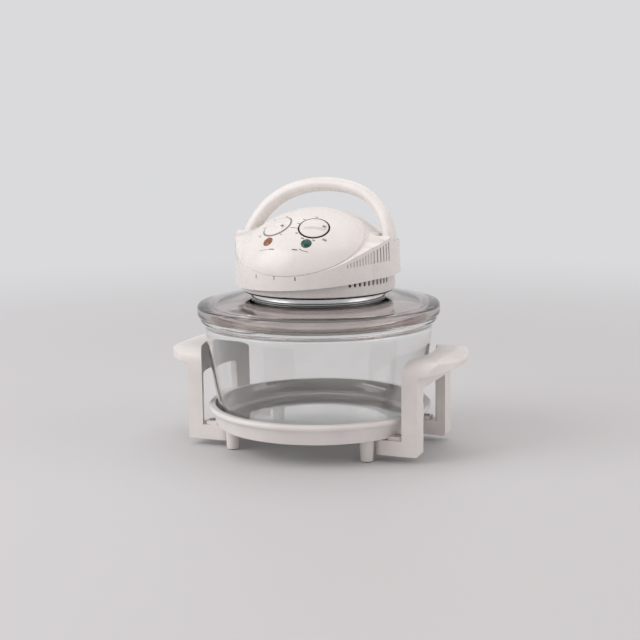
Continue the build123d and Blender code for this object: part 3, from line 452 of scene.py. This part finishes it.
world = bpy.data.worlds.new("studio")
bpy.context.scene.world = world
world.use_nodes = True
world.node_tree.nodes.clear()
path = addNode(world, "ShaderNodeLightPath", {})
through = addNode(
    world, "ShaderNodeMath",
    {0: path.outputs["Is Transmission Ray"], 1: path.outputs["Is Glossy Ray"]}, operation="MAXIMUM",
)
seen = addNode(
    world, "ShaderNodeMath",
    {0: path.outputs["Is Camera Ray"], 1: through.outputs["Value"]}, operation="MAXIMUM",
)
backdrop = addNode(world, "ShaderNodeBackground", {"Color": linearColor(studio["background"])})
ambient = addNode(
    world, "ShaderNodeBackground",
    {"Color": linearColor(studio["ambientTint"]), "Strength": studio["ambient"]},
)
mixed = addNode(
    world, "ShaderNodeMixShader",
    {0: seen.outputs["Value"], 1: ambient.outputs["Background"], 2: backdrop.outputs["Background"]},
)
addNode(world, "ShaderNodeOutputWorld", {"Surface": mixed.outputs["Shader"]})

for name, spot, size, watts in studio["lamps"]:
    lampData = bpy.data.lights.new(name, "AREA")
    lampData.size = size
    lampData.energy = watts
    lamp = bpy.data.objects.new(name, lampData)
    bpy.context.scene.collection.objects.link(lamp)
    lamp.location = aim @ Vector(spot)
    shine = Vector((0, 0, studio["lampAim"])) - lamp.location
    lamp.rotation_euler = shine.to_track_quat("-Z", "Y").to_euler()
print("studio lit")

# Bowl and lid: pressed glass, turned in one piece

bowl = {
    "baseRadius": 116.0,
    "heelRadius": 143.2,
    "heelHeight": 22.0,
    "middleRadius": 152.8,
    "neckRadius": 159.4,
    "neckDrop": 14.5,
    "rimDepth": 9.0,
    "rimRound": 2.5,
    "glass": 4.6,
    "neckOut": 0.8,  # start of the flare from the neck to the rim
    "neckUp": 2.4,
    "flareIn": 0.8,  # end of the flare under the rim
    "rimTuck": 0.6,
    "mouthRound": 1.4,
    "mouthEase": 0.4,
    "heelSteps": 8,
    "wallSteps": 14,
    "rimSteps": 10,
}


def heelArc(inset):
    # arc from the edge of the flat base up to the wall
    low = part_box("bowl")[0].z / mm + inset
    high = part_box("bowl")[0].z / mm + bowl["heelHeight"]
    base, heel = bowl["baseRadius"], bowl["heelRadius"] - inset
    run, rise = heel - base, high - low
    radius = (run * run + rise * rise) / (2 * rise)
    turn = 2 * atan2(rise, run)
    steps = bowl["heelSteps"]
    return [
        (base + radius * sin(turn * i / steps), low + radius * (1 - cos(turn * i / steps)))
        for i in range(steps + 1)
    ]


bowlLow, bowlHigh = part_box("bowl")[0].z / mm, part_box("bowl")[1].z / mm
neckZ = bowlHigh - bowl["neckDrop"]
rimLow = bowlHigh - bowl["rimDepth"]
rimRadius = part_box("bowl")[1].x / mm
rimRoot = rimRadius - bowl["rimRound"]
middleZ = (bowlLow + bowl["heelHeight"] + neckZ) / 2
outside = heelArc(0)
inside = heelArc(bowl["glass"])
mouth = bowl["neckRadius"] - bowl["glass"]
bowlOutline = (
    outside
    + arcThrough(
        outside[-1], (bowl["middleRadius"], middleZ), (bowl["neckRadius"], neckZ), bowl["wallSteps"],
    )
    + [(bowl["neckRadius"] + bowl["neckOut"], neckZ + bowl["neckUp"])]
    + [(rimRoot - bowl["flareIn"], rimLow - bowl["rimTuck"])]
    + arcThrough(
        (rimRoot - bowl["rimTuck"], rimLow), (rimRadius, (rimLow + bowlHigh) / 2),
        (rimRoot, bowlHigh), bowl["rimSteps"],
    )
    + [(mouth + bowl["mouthRound"], bowlHigh)]
    + [(mouth + bowl["mouthEase"], bowlHigh - bowl["mouthEase"])]
    + [(mouth, bowlHigh - bowl["mouthRound"]), (mouth, neckZ)]
    + arcThrough(
        (mouth, neckZ), (bowl["middleRadius"] - bowl["glass"], middleZ), inside[-1], bowl["wallSteps"],
    )
    + inside[-2::-1]
)
bowlPiece = turned(bowlOutline, solid=True)
smoothBy(bowlPiece, 50)
dress(bowlPiece, "glassBowl", "bowl", "bowl_glass", clearGlass, ["bowl"])

lid = {
    "radius": 170.0,
    "rimHeight": 16.3,
    "rimLand": 16.0,
    "rise": 7.5,
    "bulge": 1.4,
    "skirtDepth": 5.5,
    "skirtWidth": 4.4,
    "holeRadius": 90.8,
    "edgeRound": 4.0,
    "edgeStretch": 1.5,  # the edge's arc is this much taller than wide
    "edgeMiddleIn": 0.29,  # middle of that arc, as shares of its width and height
    "edgeMiddleDown": 0.32,
    "footIn": 2.0,  # eased lower corner of the rim
    "footEase": 0.5,
    "footUp": 1.6,
    "skirtEase": 0.8,
    "holeEase": 0.6,
    "glass": 4.6,
    "topSteps": 14,
    "edgeSteps": 8,
}
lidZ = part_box("lid_glass")[0].z / mm + lid["skirtDepth"]
edgeTop = lidZ + lid["rimHeight"]
holeTop = edgeTop + lid["rise"]
land = lid["radius"] - lid["rimLand"]
skirtLow = lidZ - lid["skirtDepth"]
skirtIn = land - lid["skirtWidth"]
halfway = (lid["holeRadius"] + lid["radius"]) / 2
crest = (holeTop + edgeTop) / 2 + lid["bulge"]
shoulder = lid["radius"] - lid["edgeRound"]
skirtRound = skirtLow + lid["skirtEase"]
edgeFoot = edgeTop - lid["edgeStretch"] * lid["edgeRound"]
lidOutline = (
    [(lid["holeRadius"], holeTop - lid["holeEase"]), (lid["holeRadius"] + lid["holeEase"], holeTop)]
    + arcThrough(
        (lid["holeRadius"], holeTop), (halfway, crest), (shoulder, edgeTop), lid["topSteps"],
    )
    + arcThrough(
        (shoulder, edgeTop),
        (
            lid["radius"] - lid["edgeMiddleIn"] * lid["edgeRound"],
            edgeTop - lid["edgeMiddleDown"] * lid["edgeStretch"] * lid["edgeRound"],
        ),
        (lid["radius"], edgeFoot), lid["edgeSteps"],
    )
    + [(lid["radius"], lidZ + lid["edgeRound"])]
    + [(lid["radius"] - lid["footEase"], lidZ + lid["footUp"]), (lid["radius"] - lid["footIn"], lidZ)]
    + [(land, lidZ), (land, skirtRound)]
    + [(land - lid["skirtEase"], skirtLow), (skirtIn + lid["skirtEase"], skirtLow)]
    + [(skirtIn, skirtRound), (skirtIn, edgeTop - lid["glass"])]
    + arcThrough(
        (skirtIn, edgeTop - lid["glass"]), (halfway, crest - lid["glass"]),
        (lid["holeRadius"], holeTop - lid["glass"]), lid["topSteps"],
    )
)
lidPiece = turned(lidOutline)
smoothBy(lidPiece, 50)
dress(lidPiece, "glassLid", "head", "lid_glass", smokedGlass, ["lid_glass"])
print("glass modelled")

# Everything else keeps its own shape, joined and with eased edges

dressedNodes = [
    # node, new name, body, slot, material, bevel mm
    ("tray", "standTray", "stand", "white_plastic", whiteStand, 0.5),
    ("feet", "standFeet", "stand", "white_plastic", whiteStand, 0.0),
    ("foot_pads", "footPads", "stand", "grey_rubber", greyRubber, 0.0),
    ("handle_left", "leftSideHandle", "stand", "white_plastic", whiteStand, 1.0),
    ("handle_right", "rightSideHandle", "stand", "white_plastic", whiteStand, 1.0),
    ("handle_screws", "handleScrews", "stand", "screw_steel", zincSteel, 0.0),
    ("retaining_ring", "retainingRing", "head", "chrome", chromePlate, 0.0),
    ("ring_screws", "ringScrews", "head", "screw_steel", zincSteel, 0.0),
    ("heat_gasket", "heatGasket", "head", "black_rubber", siliconeRubber, 0.0),
    ("lid_gasket", "lidGasket", "head", "black_rubber", paleRubber, 0.0),
    ("reflector", "heatReflector", "head", "aluminium", brightAluminium, 0.0),
    ("halogen_tube", "halogenTube", "head", "lamp_glass", quartz, 0.0),
    ("lamp_holders", "lampHolders", "head", "ceramic", steatite, 0.4),
    ("heater_guard", "heaterGuard", "head", "chrome", chromePlate, 0.0),
    ("convection_fan", "convectionFan", "fan", "aluminium", brightAluminium, 0.0),
    ("cooling_fan", "coolingFan", "fan", "black_plastic", blackNylon, 0.0),
    ("motor_shaft", "motorShaft", "fan", "steel", zincSteel, 0.0),
    ("motor", "fanMotor", "head", "steel", zincSteel, 0.0),
    ("motor_bracket", "motorBracket", "head", "steel", zincSteel, 0.3),
    ("head_base", "headBase", "head", "white_plastic", whiteGloss, 0.0),
    ("head_shell", "headShell", "head", "white_plastic", whiteGloss, 0.0),
    ("control_panel", "controlPanel", "head", "white_plastic", whiteGloss, 0.0),
    # painted shade: the knobs' seals are dead black here so that they stand for the shadow gap round each
    # knob
    ("knob_seals", "knobSealsPaintedShade", "head", "black_rubber", siliconeRubber, 0.0),
    ("timer_unit", "timerUnit", "head", "steel", zincSteel, 0.4),
    ("thermostat_unit", "thermostatUnit", "head", "steel", zincSteel, 0.0),
    ("timer_spindle", "timerSpindle", "timer_dial", "steel", zincSteel, 0.0),
    ("thermostat_spindle", "thermostatSpindle", "thermostat_dial", "steel", zincSteel, 0.0),
    ("pivot_pins", "pivotPins", "head", "steel", zincSteel, 0.0),
    ("microswitch", "safetySwitch", "head", "black_plastic", blackNylon, 0.3),
    ("switch_plunger", "switchPlunger", "plunger", "black_plastic", blackNylon, 0.0),
    ("cord_gland", "cordGland", "head", "black_rubber", siliconeRubber, 0.0),
    ("base_screws", "baseScrews", "head", "screw_steel", zincSteel, 0.0),
]
head = {
    "wallRadius": 115.0,
    "shoulderZ": 250.0,
    "baseZ": 222.0,
    "baseRadius": 107.5,
    "cornerRadius": 60.0,
    "crownRadius": 135.0,
    "crownZ": 199.0,
    "earX": 63.6,
    "earY": -5.0,
    "earRadius": 60.0,
    "draft": 2.5,
    "wall": 3.0,
    "step": 1.5,  # the panel stands this far proud of the shell
    "seamHeight": 240.4,  # lower edge of the shell, at the oven's axis
    "seamSlope": 0.07,
    "seamCant": 0.063,
    "earTop": 292.5,  # the outer walls of the handle's pockets end here
    "earWallFrom": 117.9,
    "seamBlock": (400, 400, 100),  # cutting blocks, each larger than what it takes off
    "earBlock": (20, 90, 50),
}


def blockTool(size, place):
    # a square cutter in mm, scaled about the origin, then placed
    deselectAll()
    bpy.ops.mesh.primitive_cube_add(size=1)
    tool = bpy.context.object
    tool.scale = Vector(size) * mm
    placeInMesh(tool)
    tool.matrix_world = place
    placeInMesh(tool)
    return tool


def trimShell(piece):
    # the shell's lower edge climbs a little more to the right, and the outer walls of the pockets are lower
    seamUp = Vector((-head["seamCant"], -head["seamSlope"], 1)).normalized()
    under = Vector((0, 0, head["seamHeight"])) - seamUp * (head["seamBlock"][2] / 2)
    turn = Vector((0, 0, 1)).rotation_difference(seamUp).to_matrix().to_4x4()
    cutAway(piece, blockTool(head["seamBlock"], Matrix.Translation(under * mm) @ turn))
    wide, high = head["earBlock"][0], head["earBlock"][2]
    for side in (-1, 1):
        spot = Vector((side * (head["earWallFrom"] + wide / 2), 0, head["earTop"] + high / 2))
        cutAway(piece, blockTool(head["earBlock"], Matrix.Translation(spot * mm)))


headForms = [coneForm(0, 0, head["baseRadius"] - inset, head["baseZ"]) for inset in (0, head["wall"])]
for inset in (0, head["wall"]):
    headForms.append(coneForm(0, 0, head["wallRadius"] - inset, head["shoulderZ"], head["draft"]))
    for side in (-1, 1):
        earRadius = head["earRadius"] - inset
        headForms.append(coneForm(side * head["earX"], head["earY"], earRadius, head["baseZ"], head["draft"]))
    for lift in (0, head["step"]):
        ringIn = head["wallRadius"] - head["cornerRadius"]
        headForms.append(ringForm(ringIn, head["shoulderZ"], head["cornerRadius"] - lift - inset))
        headForms.append(ringForm(0, head["crownZ"], head["crownRadius"] - lift - inset))
dressed = {}
for node, name, body, slot, material, bevelMm in dressedNodes:
    piece = cleanCopy(node, bevelMm)
    if node == "head_shell":
        trimShell(piece)
        smoothBy(piece)
    if node in ("head_base", "head_shell", "control_panel"):
        trueNormals(piece, headForms)
    dressed[node] = dress(piece, name, body, slot, material, [node])
# painted shade: one seal ring serves both knobs; it is black at the thermostat for the deep shadow gap round
# that knob, and pale at the timer, where the gap shows only as a thin grey line
dressed["knob_seals"].data.materials.append(paleRubber)
for face in dressed["knob_seals"].data.polygons:
    face.material_index = 1 if face.center.x < 0 else 0  # the timer's seal is the pale one: a lighter painted shade for its thinner gap
print("solid pieces dressed:", len(dressedNodes))

# Filament: one plain ring inside the quartz tube, thicker than a real wire so that it shows; its coils
# come from the material

filament = {
    "radius": 1.1,
    "sides": 12,
    "gap": 24,  # degrees left open between the tube's ends
    "tube": 5.0,
    "steps": 168,
}
tubeLow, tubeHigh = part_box("halogen_tube")
ringRadius = tubeHigh.x / mm - filament["tube"]
deselectAll()
bpy.ops.mesh.primitive_circle_add(
    vertices=filament["sides"], radius=filament["radius"] * mm, fill_type="NGON",
)
filamentPiece = bpy.context.object
filamentPiece.matrix_world = (
    Matrix.Rotation(radians(90 + filament["gap"] / 2), 4, "Z")
    @ Matrix.Translation(Vector((ringRadius * mm, 0, (tubeLow.z + tubeHigh.z) / 2)))
    @ Matrix.Rotation(pi / 2, 4, "X")
)
placeInMesh(filamentPiece)
bpy.ops.object.mode_set(mode="EDIT")
bpy.ops.mesh.select_all(action="SELECT")
bpy.ops.mesh.spin(
    steps=filament["steps"], angle=radians(360 - filament["gap"]), center=(0, 0, 0), axis=(0, 0, 1),
    use_auto_merge=False,
)
bpy.ops.mesh.select_all(action="SELECT")
bpy.ops.mesh.normals_make_consistent(inside=False)
bpy.ops.object.mode_set(mode="OBJECT")
smoothBy(filamentPiece, 40)
dress(filamentPiece, "lampFilament", "head", "steel", tungstenCoil)
print("filament modelled")

# Lamp drum, spun aluminium: its collar leans a little, so that it mirrors the room and not the gasket

drum = {
    "radius": 90.0,
    "collar": 0.9,  # how far the wall stands out at the flange
    "collarMiddle": 0.55,  # share of that left halfway up
    "rootOut": 0.9,  # hollow between the flange and the collar
    "rootIn": 0.3,
    "rootUp": 0.2,
    "rootTop": 0.8,
    "flangeRadius": 94.6,
    "flangeHeight": 1.6,
    "flangeEase": 0.4,
    "flangeRound": 0.6,
    "wall": 1.2,
    "lip": 2.6,
    "topLip": 3.6,
    "screwTurns": (45, 135, 225, 315),
    "screwHole": 1.5,
    "boreLength": 8,
}
drumLow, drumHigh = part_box("lamp_drum")[0].z / mm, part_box("lamp_drum")[1].z / mm
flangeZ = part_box("lid_gasket")[1].z / mm
flangeTop = flangeZ + drum["flangeHeight"]
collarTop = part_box("heat_gasket")[0].z / mm
screwZ = (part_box("ring_screws")[0].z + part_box("ring_screws")[1].z) / 2 / mm
drumOut, drumIn = drum["radius"], drum["radius"] - drum["wall"]
collarFoot = drumOut + drum["collar"]
flangeOut = drum["flangeRadius"]
drumPiece = turned([
    (drumOut, drumLow), (drumOut, flangeZ), (flangeOut - drum["flangeEase"], flangeZ),
    (flangeOut, flangeZ + drum["flangeEase"]), (flangeOut, flangeTop - drum["flangeRound"]),
    (flangeOut - drum["flangeRound"], flangeTop), (collarFoot + drum["rootOut"], flangeTop),
    (collarFoot + drum["rootIn"], flangeTop + drum["rootUp"]), (collarFoot, flangeTop + drum["rootTop"]),
    (drumOut + drum["collar"] * drum["collarMiddle"], (flangeTop + collarTop) / 2), (drumOut, collarTop),
    (drumOut, drumHigh), (drumOut - drum["topLip"], drumHigh),
    (drumOut - drum["topLip"], drumHigh - drum["wall"]),
    (drumIn, drumHigh - drum["wall"]), (drumIn, drumLow + drum["wall"]),
    (drumOut - drum["lip"], drumLow + drum["wall"]), (drumOut - drum["lip"], drumLow),
])
for turn in drum["screwTurns"]:
    around = Matrix.Rotation(radians(turn), 4, "Z")
    bore = boreTool(
        drum["screwHole"], drum["boreLength"], around @ Matrix.Translation(Vector((drumOut, 0, screwZ)) * mm)
        @ Matrix.Rotation(pi / 2, 4, "Y"),
    )
    cutAway(drumPiece, bore)
smoothBy(drumPiece, 40)
dress(drumPiece, "lampDrum", "head", "chrome", spunAluminium, ["lamp_drum"])
print("drum modelled")

# Carrying handle: a rounded bar swept over three arcs, with half-round hubs at its feet

handle = {
    "span": 109.5,
    "rise": 93.4,
    "shoulder": 90.3,
    "halfThick": 8.3,
    "halfWide": 11.2,
    "round": 6.5,
    "lean": 25.2,  # degrees back from upright
    "pivot": (0, -5.0, 279.0),
    "pinHole": 4.06,
    "roundSteps": 8,
    "armSteps": 22,
    "archSteps": 40,
    "footSteps": 20,
}


def selectFaces(piece, wanted):
    # in edit mode, only the faces whose centre passes the test are left selected
    bpy.ops.mesh.select_all(action="DESELECT")
    bpy.ops.object.mode_set(mode="OBJECT")
    for face in piece.data.polygons:
        face.select = wanted(face)
    bpy.ops.object.mode_set(mode="EDIT")


def sweptHandle():
    # made upright about its pivot: an arm, the arch and the other arm, then a half-round foot below each
    touching = 0.01 * mm
    span, rise, shoulder = handle["span"], handle["rise"], handle["shoulder"]
    crown = ((span - shoulder) ** 2 + rise ** 2 - shoulder ** 2) / (2 * (rise - shoulder))
    join = atan2(crown - rise, span - shoulder)
    deselectAll()
    bpy.ops.mesh.primitive_plane_add(size=2)
    piece = bpy.context.object
    piece.scale = (handle["halfThick"] * mm, handle["halfWide"] * mm, 1)
    piece.location = (span * mm, 0, 0)
    placeInMesh(piece)
    bpy.ops.object.mode_set(mode="EDIT")
    bpy.ops.mesh.select_all(action="SELECT")
    bpy.ops.mesh.bevel(offset=handle["round"] * mm, segments=handle["roundSteps"], affect="VERTICES")
    bpy.ops.mesh.select_all(action="DESELECT")
    bpy.ops.object.mode_set(mode="OBJECT")
    for edge in piece.data.edges:  # the two long straight edges get a vertex in their middle
        ends = [piece.data.vertices[index].co for index in edge.vertices]
        centred = abs(ends[0].y + ends[1].y) < touching and abs(ends[0].y) > mm
        edge.select = centred and abs(ends[0].x - ends[1].x) < touching
    bpy.ops.object.mode_set(mode="EDIT")
    bpy.ops.mesh.select_mode(type="EDGE")
    bpy.ops.mesh.subdivide(number_cuts=1)
    bpy.ops.mesh.select_all(action="SELECT")
    for centre, sweep, steps in (
        ((span - shoulder, 0), join, handle["armSteps"]),
        ((0, rise - crown), pi - 2 * join, handle["archSteps"]),
        ((shoulder - span, 0), join, handle["armSteps"]),
    ):
        bpy.ops.mesh.spin(
            steps=steps, angle=sweep, center=(centre[0] * mm, 0, centre[1] * mm), axis=(0, 1, 0),
            use_auto_merge=False,
        )
    bpy.ops.mesh.select_mode(type="FACE")
    selectFaces(piece, lambda face: abs(face.center.z) < touching and abs(face.normal.z) > 0.99)
    bpy.ops.mesh.delete(type="ONLY_FACE")
    for side in (-1, 1):
        bpy.ops.mesh.select_mode(type="EDGE")
        bpy.ops.mesh.select_all(action="DESELECT")
        bpy.ops.object.mode_set(mode="OBJECT")
        for edge in piece.data.edges:
            ends = [piece.data.vertices[index].co for index in edge.vertices]
            edge.select = all(
                abs(end.z) < touching and end.y > -touching and end.x * side > 0 for end in ends
            )
        bpy.ops.object.mode_set(mode="EDIT")
        bpy.ops.mesh.spin(
            steps=handle["footSteps"], angle=pi, center=(side * span * mm, 0, 0), axis=(1, 0, 0),
            use_auto_merge=False,
        )
    bpy.ops.mesh.select_all(action="SELECT")
    bpy.ops.mesh.remove_doubles(threshold=touching)
    bpy.ops.mesh.normals_make_consistent(inside=False)
    bpy.ops.object.mode_set(mode="OBJECT")
    cutAway(piece, boreTool(handle["pinHole"], 2.4 * span, Matrix.Rotation(pi / 2, 4, "Y")))
    piece.matrix_world = (
        Matrix.Translation(Vector(handle["pivot"]) * mm) @ Matrix.Rotation(-radians(handle["lean"]), 4, "X")
    )
    placeInMesh(piece)
    smoothBy(piece, 40)
    return piece


handlePiece = sweptHandle()
dress(handlePiece, "carryHandle", "carry_handle", "white_plastic", whiteGloss, ["carry_handle"])
boxCorners = [Vector(handlePiece.bound_box[corner]) for corner in (0, 6)]  # its lowest and highest
boxGaps = [(found - given).length / mm for found, given in zip(boxCorners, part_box("carry_handle"))]
print("handle modelled, box off by", round(max(boxGaps), 2), "mm")

# Knobs: low crowned discs with a soft grip across, on the dome of the head

knob = {
    "radius": 19.6,
    "seat": -1.4,  # along the knob's axis, from where the axis meets the dome
    "rim": -0.75,
    "crown": 1.7,
    "gripHalfLength": 14.5,
    "gripHalfWidth": 2.6,
    "gripRise": 2.2,
    "gripBlend": 4.2,
    "bore": 3.06,
    "boreTop": 3.1,
    "markFrom": 12.2,
    "markTo": 16.2,
    "markHalfWidth": 1.9,
    "crownIn": 0.5,  # from the wall to where the crown starts
    "crownUp": 0.2,
    "crownSteps": 24,
    "pole": 0.25,  # radius of the small disc that closes the crown
    "footEase": 0.3,
    "footUp": 0.25,
    "rimEase": 0.15,
    "rimDown": 0.2,
    "rimUp": 0.05,
    "boreMargin": 0.5,
    "knobs": [  # node, name, body, place on the dome, turn of the grip in degrees
        ("timer_knob", "timerKnob", "timer_dial", (-28.0, 66.0), -32.0),
        ("thermostat_knob", "thermostatKnob", "thermostat_dial", (28.0, 66.0), 20.0),
    ],
}


def standOn(piece, across, front, turn=0.0, lift=0.0):
    # a piece made at the origin is stood on the head's dome, with its own up along the dome's normal
    height = sqrt(head["crownRadius"] ** 2 - across ** 2 - front ** 2)
    up = Vector((across, -front, height)).normalized()
    right = Vector((height, 0, -across)).normalized()
    place = Matrix((right, up.cross(right), up)).transposed().to_4x4()
    place.translation = (Vector((0, 0, head["crownZ"])) + up * (head["crownRadius"] + lift)) * mm
    piece.matrix_world = place @ Matrix.Rotation(radians(turn), 4, "Z")
    placeInMesh(piece)


def knobForm():
    rimRadius, steps = knob["radius"] - knob["crownIn"], knob["crownSteps"]
    crownRadii = [rimRadius * (1 - i / steps) for i in range(steps)] + [knob["pole"]]
    crownRise = knob["crown"] - knob["rim"]
    piece = turned([
        (knob["bore"], knob["boreTop"]), (knob["bore"], knob["seat"]),
        (knob["radius"] - knob["footEase"], knob["seat"]), (knob["radius"], knob["seat"] + knob["footUp"]),
        (knob["radius"], knob["rim"] - knob["rimDown"]),
        (knob["radius"] - knob["rimEase"], knob["rim"] + knob["rimUp"]),
    ] + [
        (radius, knob["rim"] + knob["crownUp"] + crownRise * (1 - (radius / rimRadius) ** 2))
        for radius in crownRadii
    ], solid=True)
    bpy.ops.object.mode_set(mode="EDIT")
    bpy.ops.mesh.select_mode(type="VERT")
    bpy.ops.mesh.select_all(action="DESELECT")
    bpy.ops.object.mode_set(mode="OBJECT")
    for vertex in piece.data.vertices:
        x, y, z = vertex.co / mm
        onTop = knob["rim"] < z < knob["boreTop"] - knob["boreMargin"]
        vertex.select = onTop and abs(x) < knob["gripHalfLength"] and abs(y) < knob["gripHalfWidth"]
    bpy.ops.object.mode_set(mode="EDIT")
    bpy.ops.transform.translate(
        value=(0, 0, knob["gripRise"] * mm), use_proportional_edit=True, use_proportional_connected=True,
        proportional_edit_falloff="SMOOTH", proportional_size=knob["gripBlend"] * mm,
    )
    bpy.ops.object.mode_set(mode="OBJECT")
    smoothBy(piece, 50)
    return piece


for node, name, body, spot, turn in knob["knobs"]:
    piece = knobForm()
    dress(piece, name, body, "white_plastic", whiteGloss, [node])
    piece.data.materials.append(markInk)
    for face in piece.data.polygons:
        x, y, z = face.center / mm
        inMark = knob["markFrom"] < x < knob["markTo"] and abs(y) < knob["markHalfWidth"]
        face.material_index = 1 if inMark and z > knob["rim"] else 0
    standOn(piece, *spot, turn)
print("knobs modelled")

# Pilot lights: cut like a jewel, in coloured polycarbonate

jewel = {
    "radius": 7.2,
    "low": -5.7,
    "sides": 12,
    "rings": [  # radius and height of each ring of facets
        (7.2, 0.25), (6.7, 0.5), (6.2, 0.4), (4.2, 1.0), (2.2, 1.3),
    ],
    "places": [
        ("power_lens", "powerLens", "green_lens", (29.0, 91.0), greenLens),
        ("heat_lens", "heatLens", "amber_lens", (-29.0, 91.0), amberLens),
    ],
}
for node, name, slot, spot, material in jewel["places"]:
    piece = turned([(jewel["radius"], jewel["low"])] + jewel["rings"], jewel["sides"], solid=True)
    dress(piece, name, "head", slot, material, [node])
    standOn(piece, *spot)
print("pilot lights modelled")

# Printed scales: plain numbers and dashes, laid on the dome

prints = {
    "thick": 0.04,
    "lift": 0.03,
    "digit": 3.0,
    "radius": 25.5,  # of the ring of numbers round a knob
    "font": 0.12,  # extra weight of the strokes, in mm
    "bold": 1.45,  # the first number of a scale is this much larger
    "boldOut": 3.2,
    "scales": [  # knob, its numbers and the angle of each round the knob
        ((28.0, 66.0), [
            (-31, "250"), (-62, "225"), (-98, "200"), (-131, "175"), (178, "150"), (152, "125"), (112, "100"),
        ]),
        ((-28.0, 66.0), [(-151, "60"), (165, "50"), (120, "40"), (75, "30"), (-105, "20"), (-60, "10")]),
    ],
    "dashes": [  # across, front, turn, length, width
        (2.4, 73.0, -5, 14.0, 0.9),
        (-31.6, 100.0, -11, 12.2, 0.55),
        (-23.6, 101.0, 20, 4.0, 0.55),
        (-17.5, 101.7, -12, 8.0, 1.3),
        (16.7, 101.2, 8, 7.6, 1.6),
        (25.2, 99.5, -8, 6.4, 0.9),
        (31.9, 99.1, 11, 7.6, 0.8),
    ],
}


def dashForm(length, width):
    deselectAll()
    bpy.ops.mesh.primitive_grid_add(x_subdivisions=8, y_subdivisions=1, size=2)
    piece = bpy.context.object
    piece.scale = (length / 2 * mm, width / 2 * mm, 1)
    placeInMesh(piece)
    return piece


def numberForm(text):
    deselectAll()
    bpy.ops.object.text_add()
    piece = bpy.context.object
    piece.data.body = text
    piece.data.size = prints["digit"] * mm
    piece.data.align_x = "CENTER"
    piece.data.align_y = "CENTER"
    piece.data.offset = prints["font"] * mm
    bpy.ops.object.convert(target="MESH")
    return bpy.context.object


marks = []
for (across, front), scale in prints["scales"]:
    for place, (angle, text) in enumerate(scale):
        piece = numberForm(text)
        out = prints["radius"]
        if place == 0:
            out += prints["boldOut"]
            piece.scale = (prints["bold"], prints["bold"], 1)
        piece.location = (out * cos(radians(angle)) * mm, out * sin(radians(angle)) * mm, 0)
        placeInMesh(piece)
        standOn(piece, across, front)
        marks.append(piece)
for across, front, turn, length, width in prints["dashes"]:
    piece = dashForm(length, width)
    standOn(piece, across, front, turn)
    marks.append(piece)
deselectAll()
for piece in marks:
    piece.select_set(True)
bpy.context.view_layer.objects.active = marks[0]
bpy.ops.object.join()
printPiece = bpy.context.object
applyModifier(
    printPiece, "SHRINKWRAP", target=dressed["control_panel"], wrap_method="NEAREST_SURFACEPOINT",
    wrap_mode="ABOVE_SURFACE", offset=prints["lift"] * mm,
)
applyModifier(printPiece, "SOLIDIFY", thickness=prints["thick"] * mm, offset=0)
dress(printPiece, "dialPrint", "head", "black_plastic", printInk)
print("scales printed")

bpy.context.scene.view_settings.view_transform = "Standard"
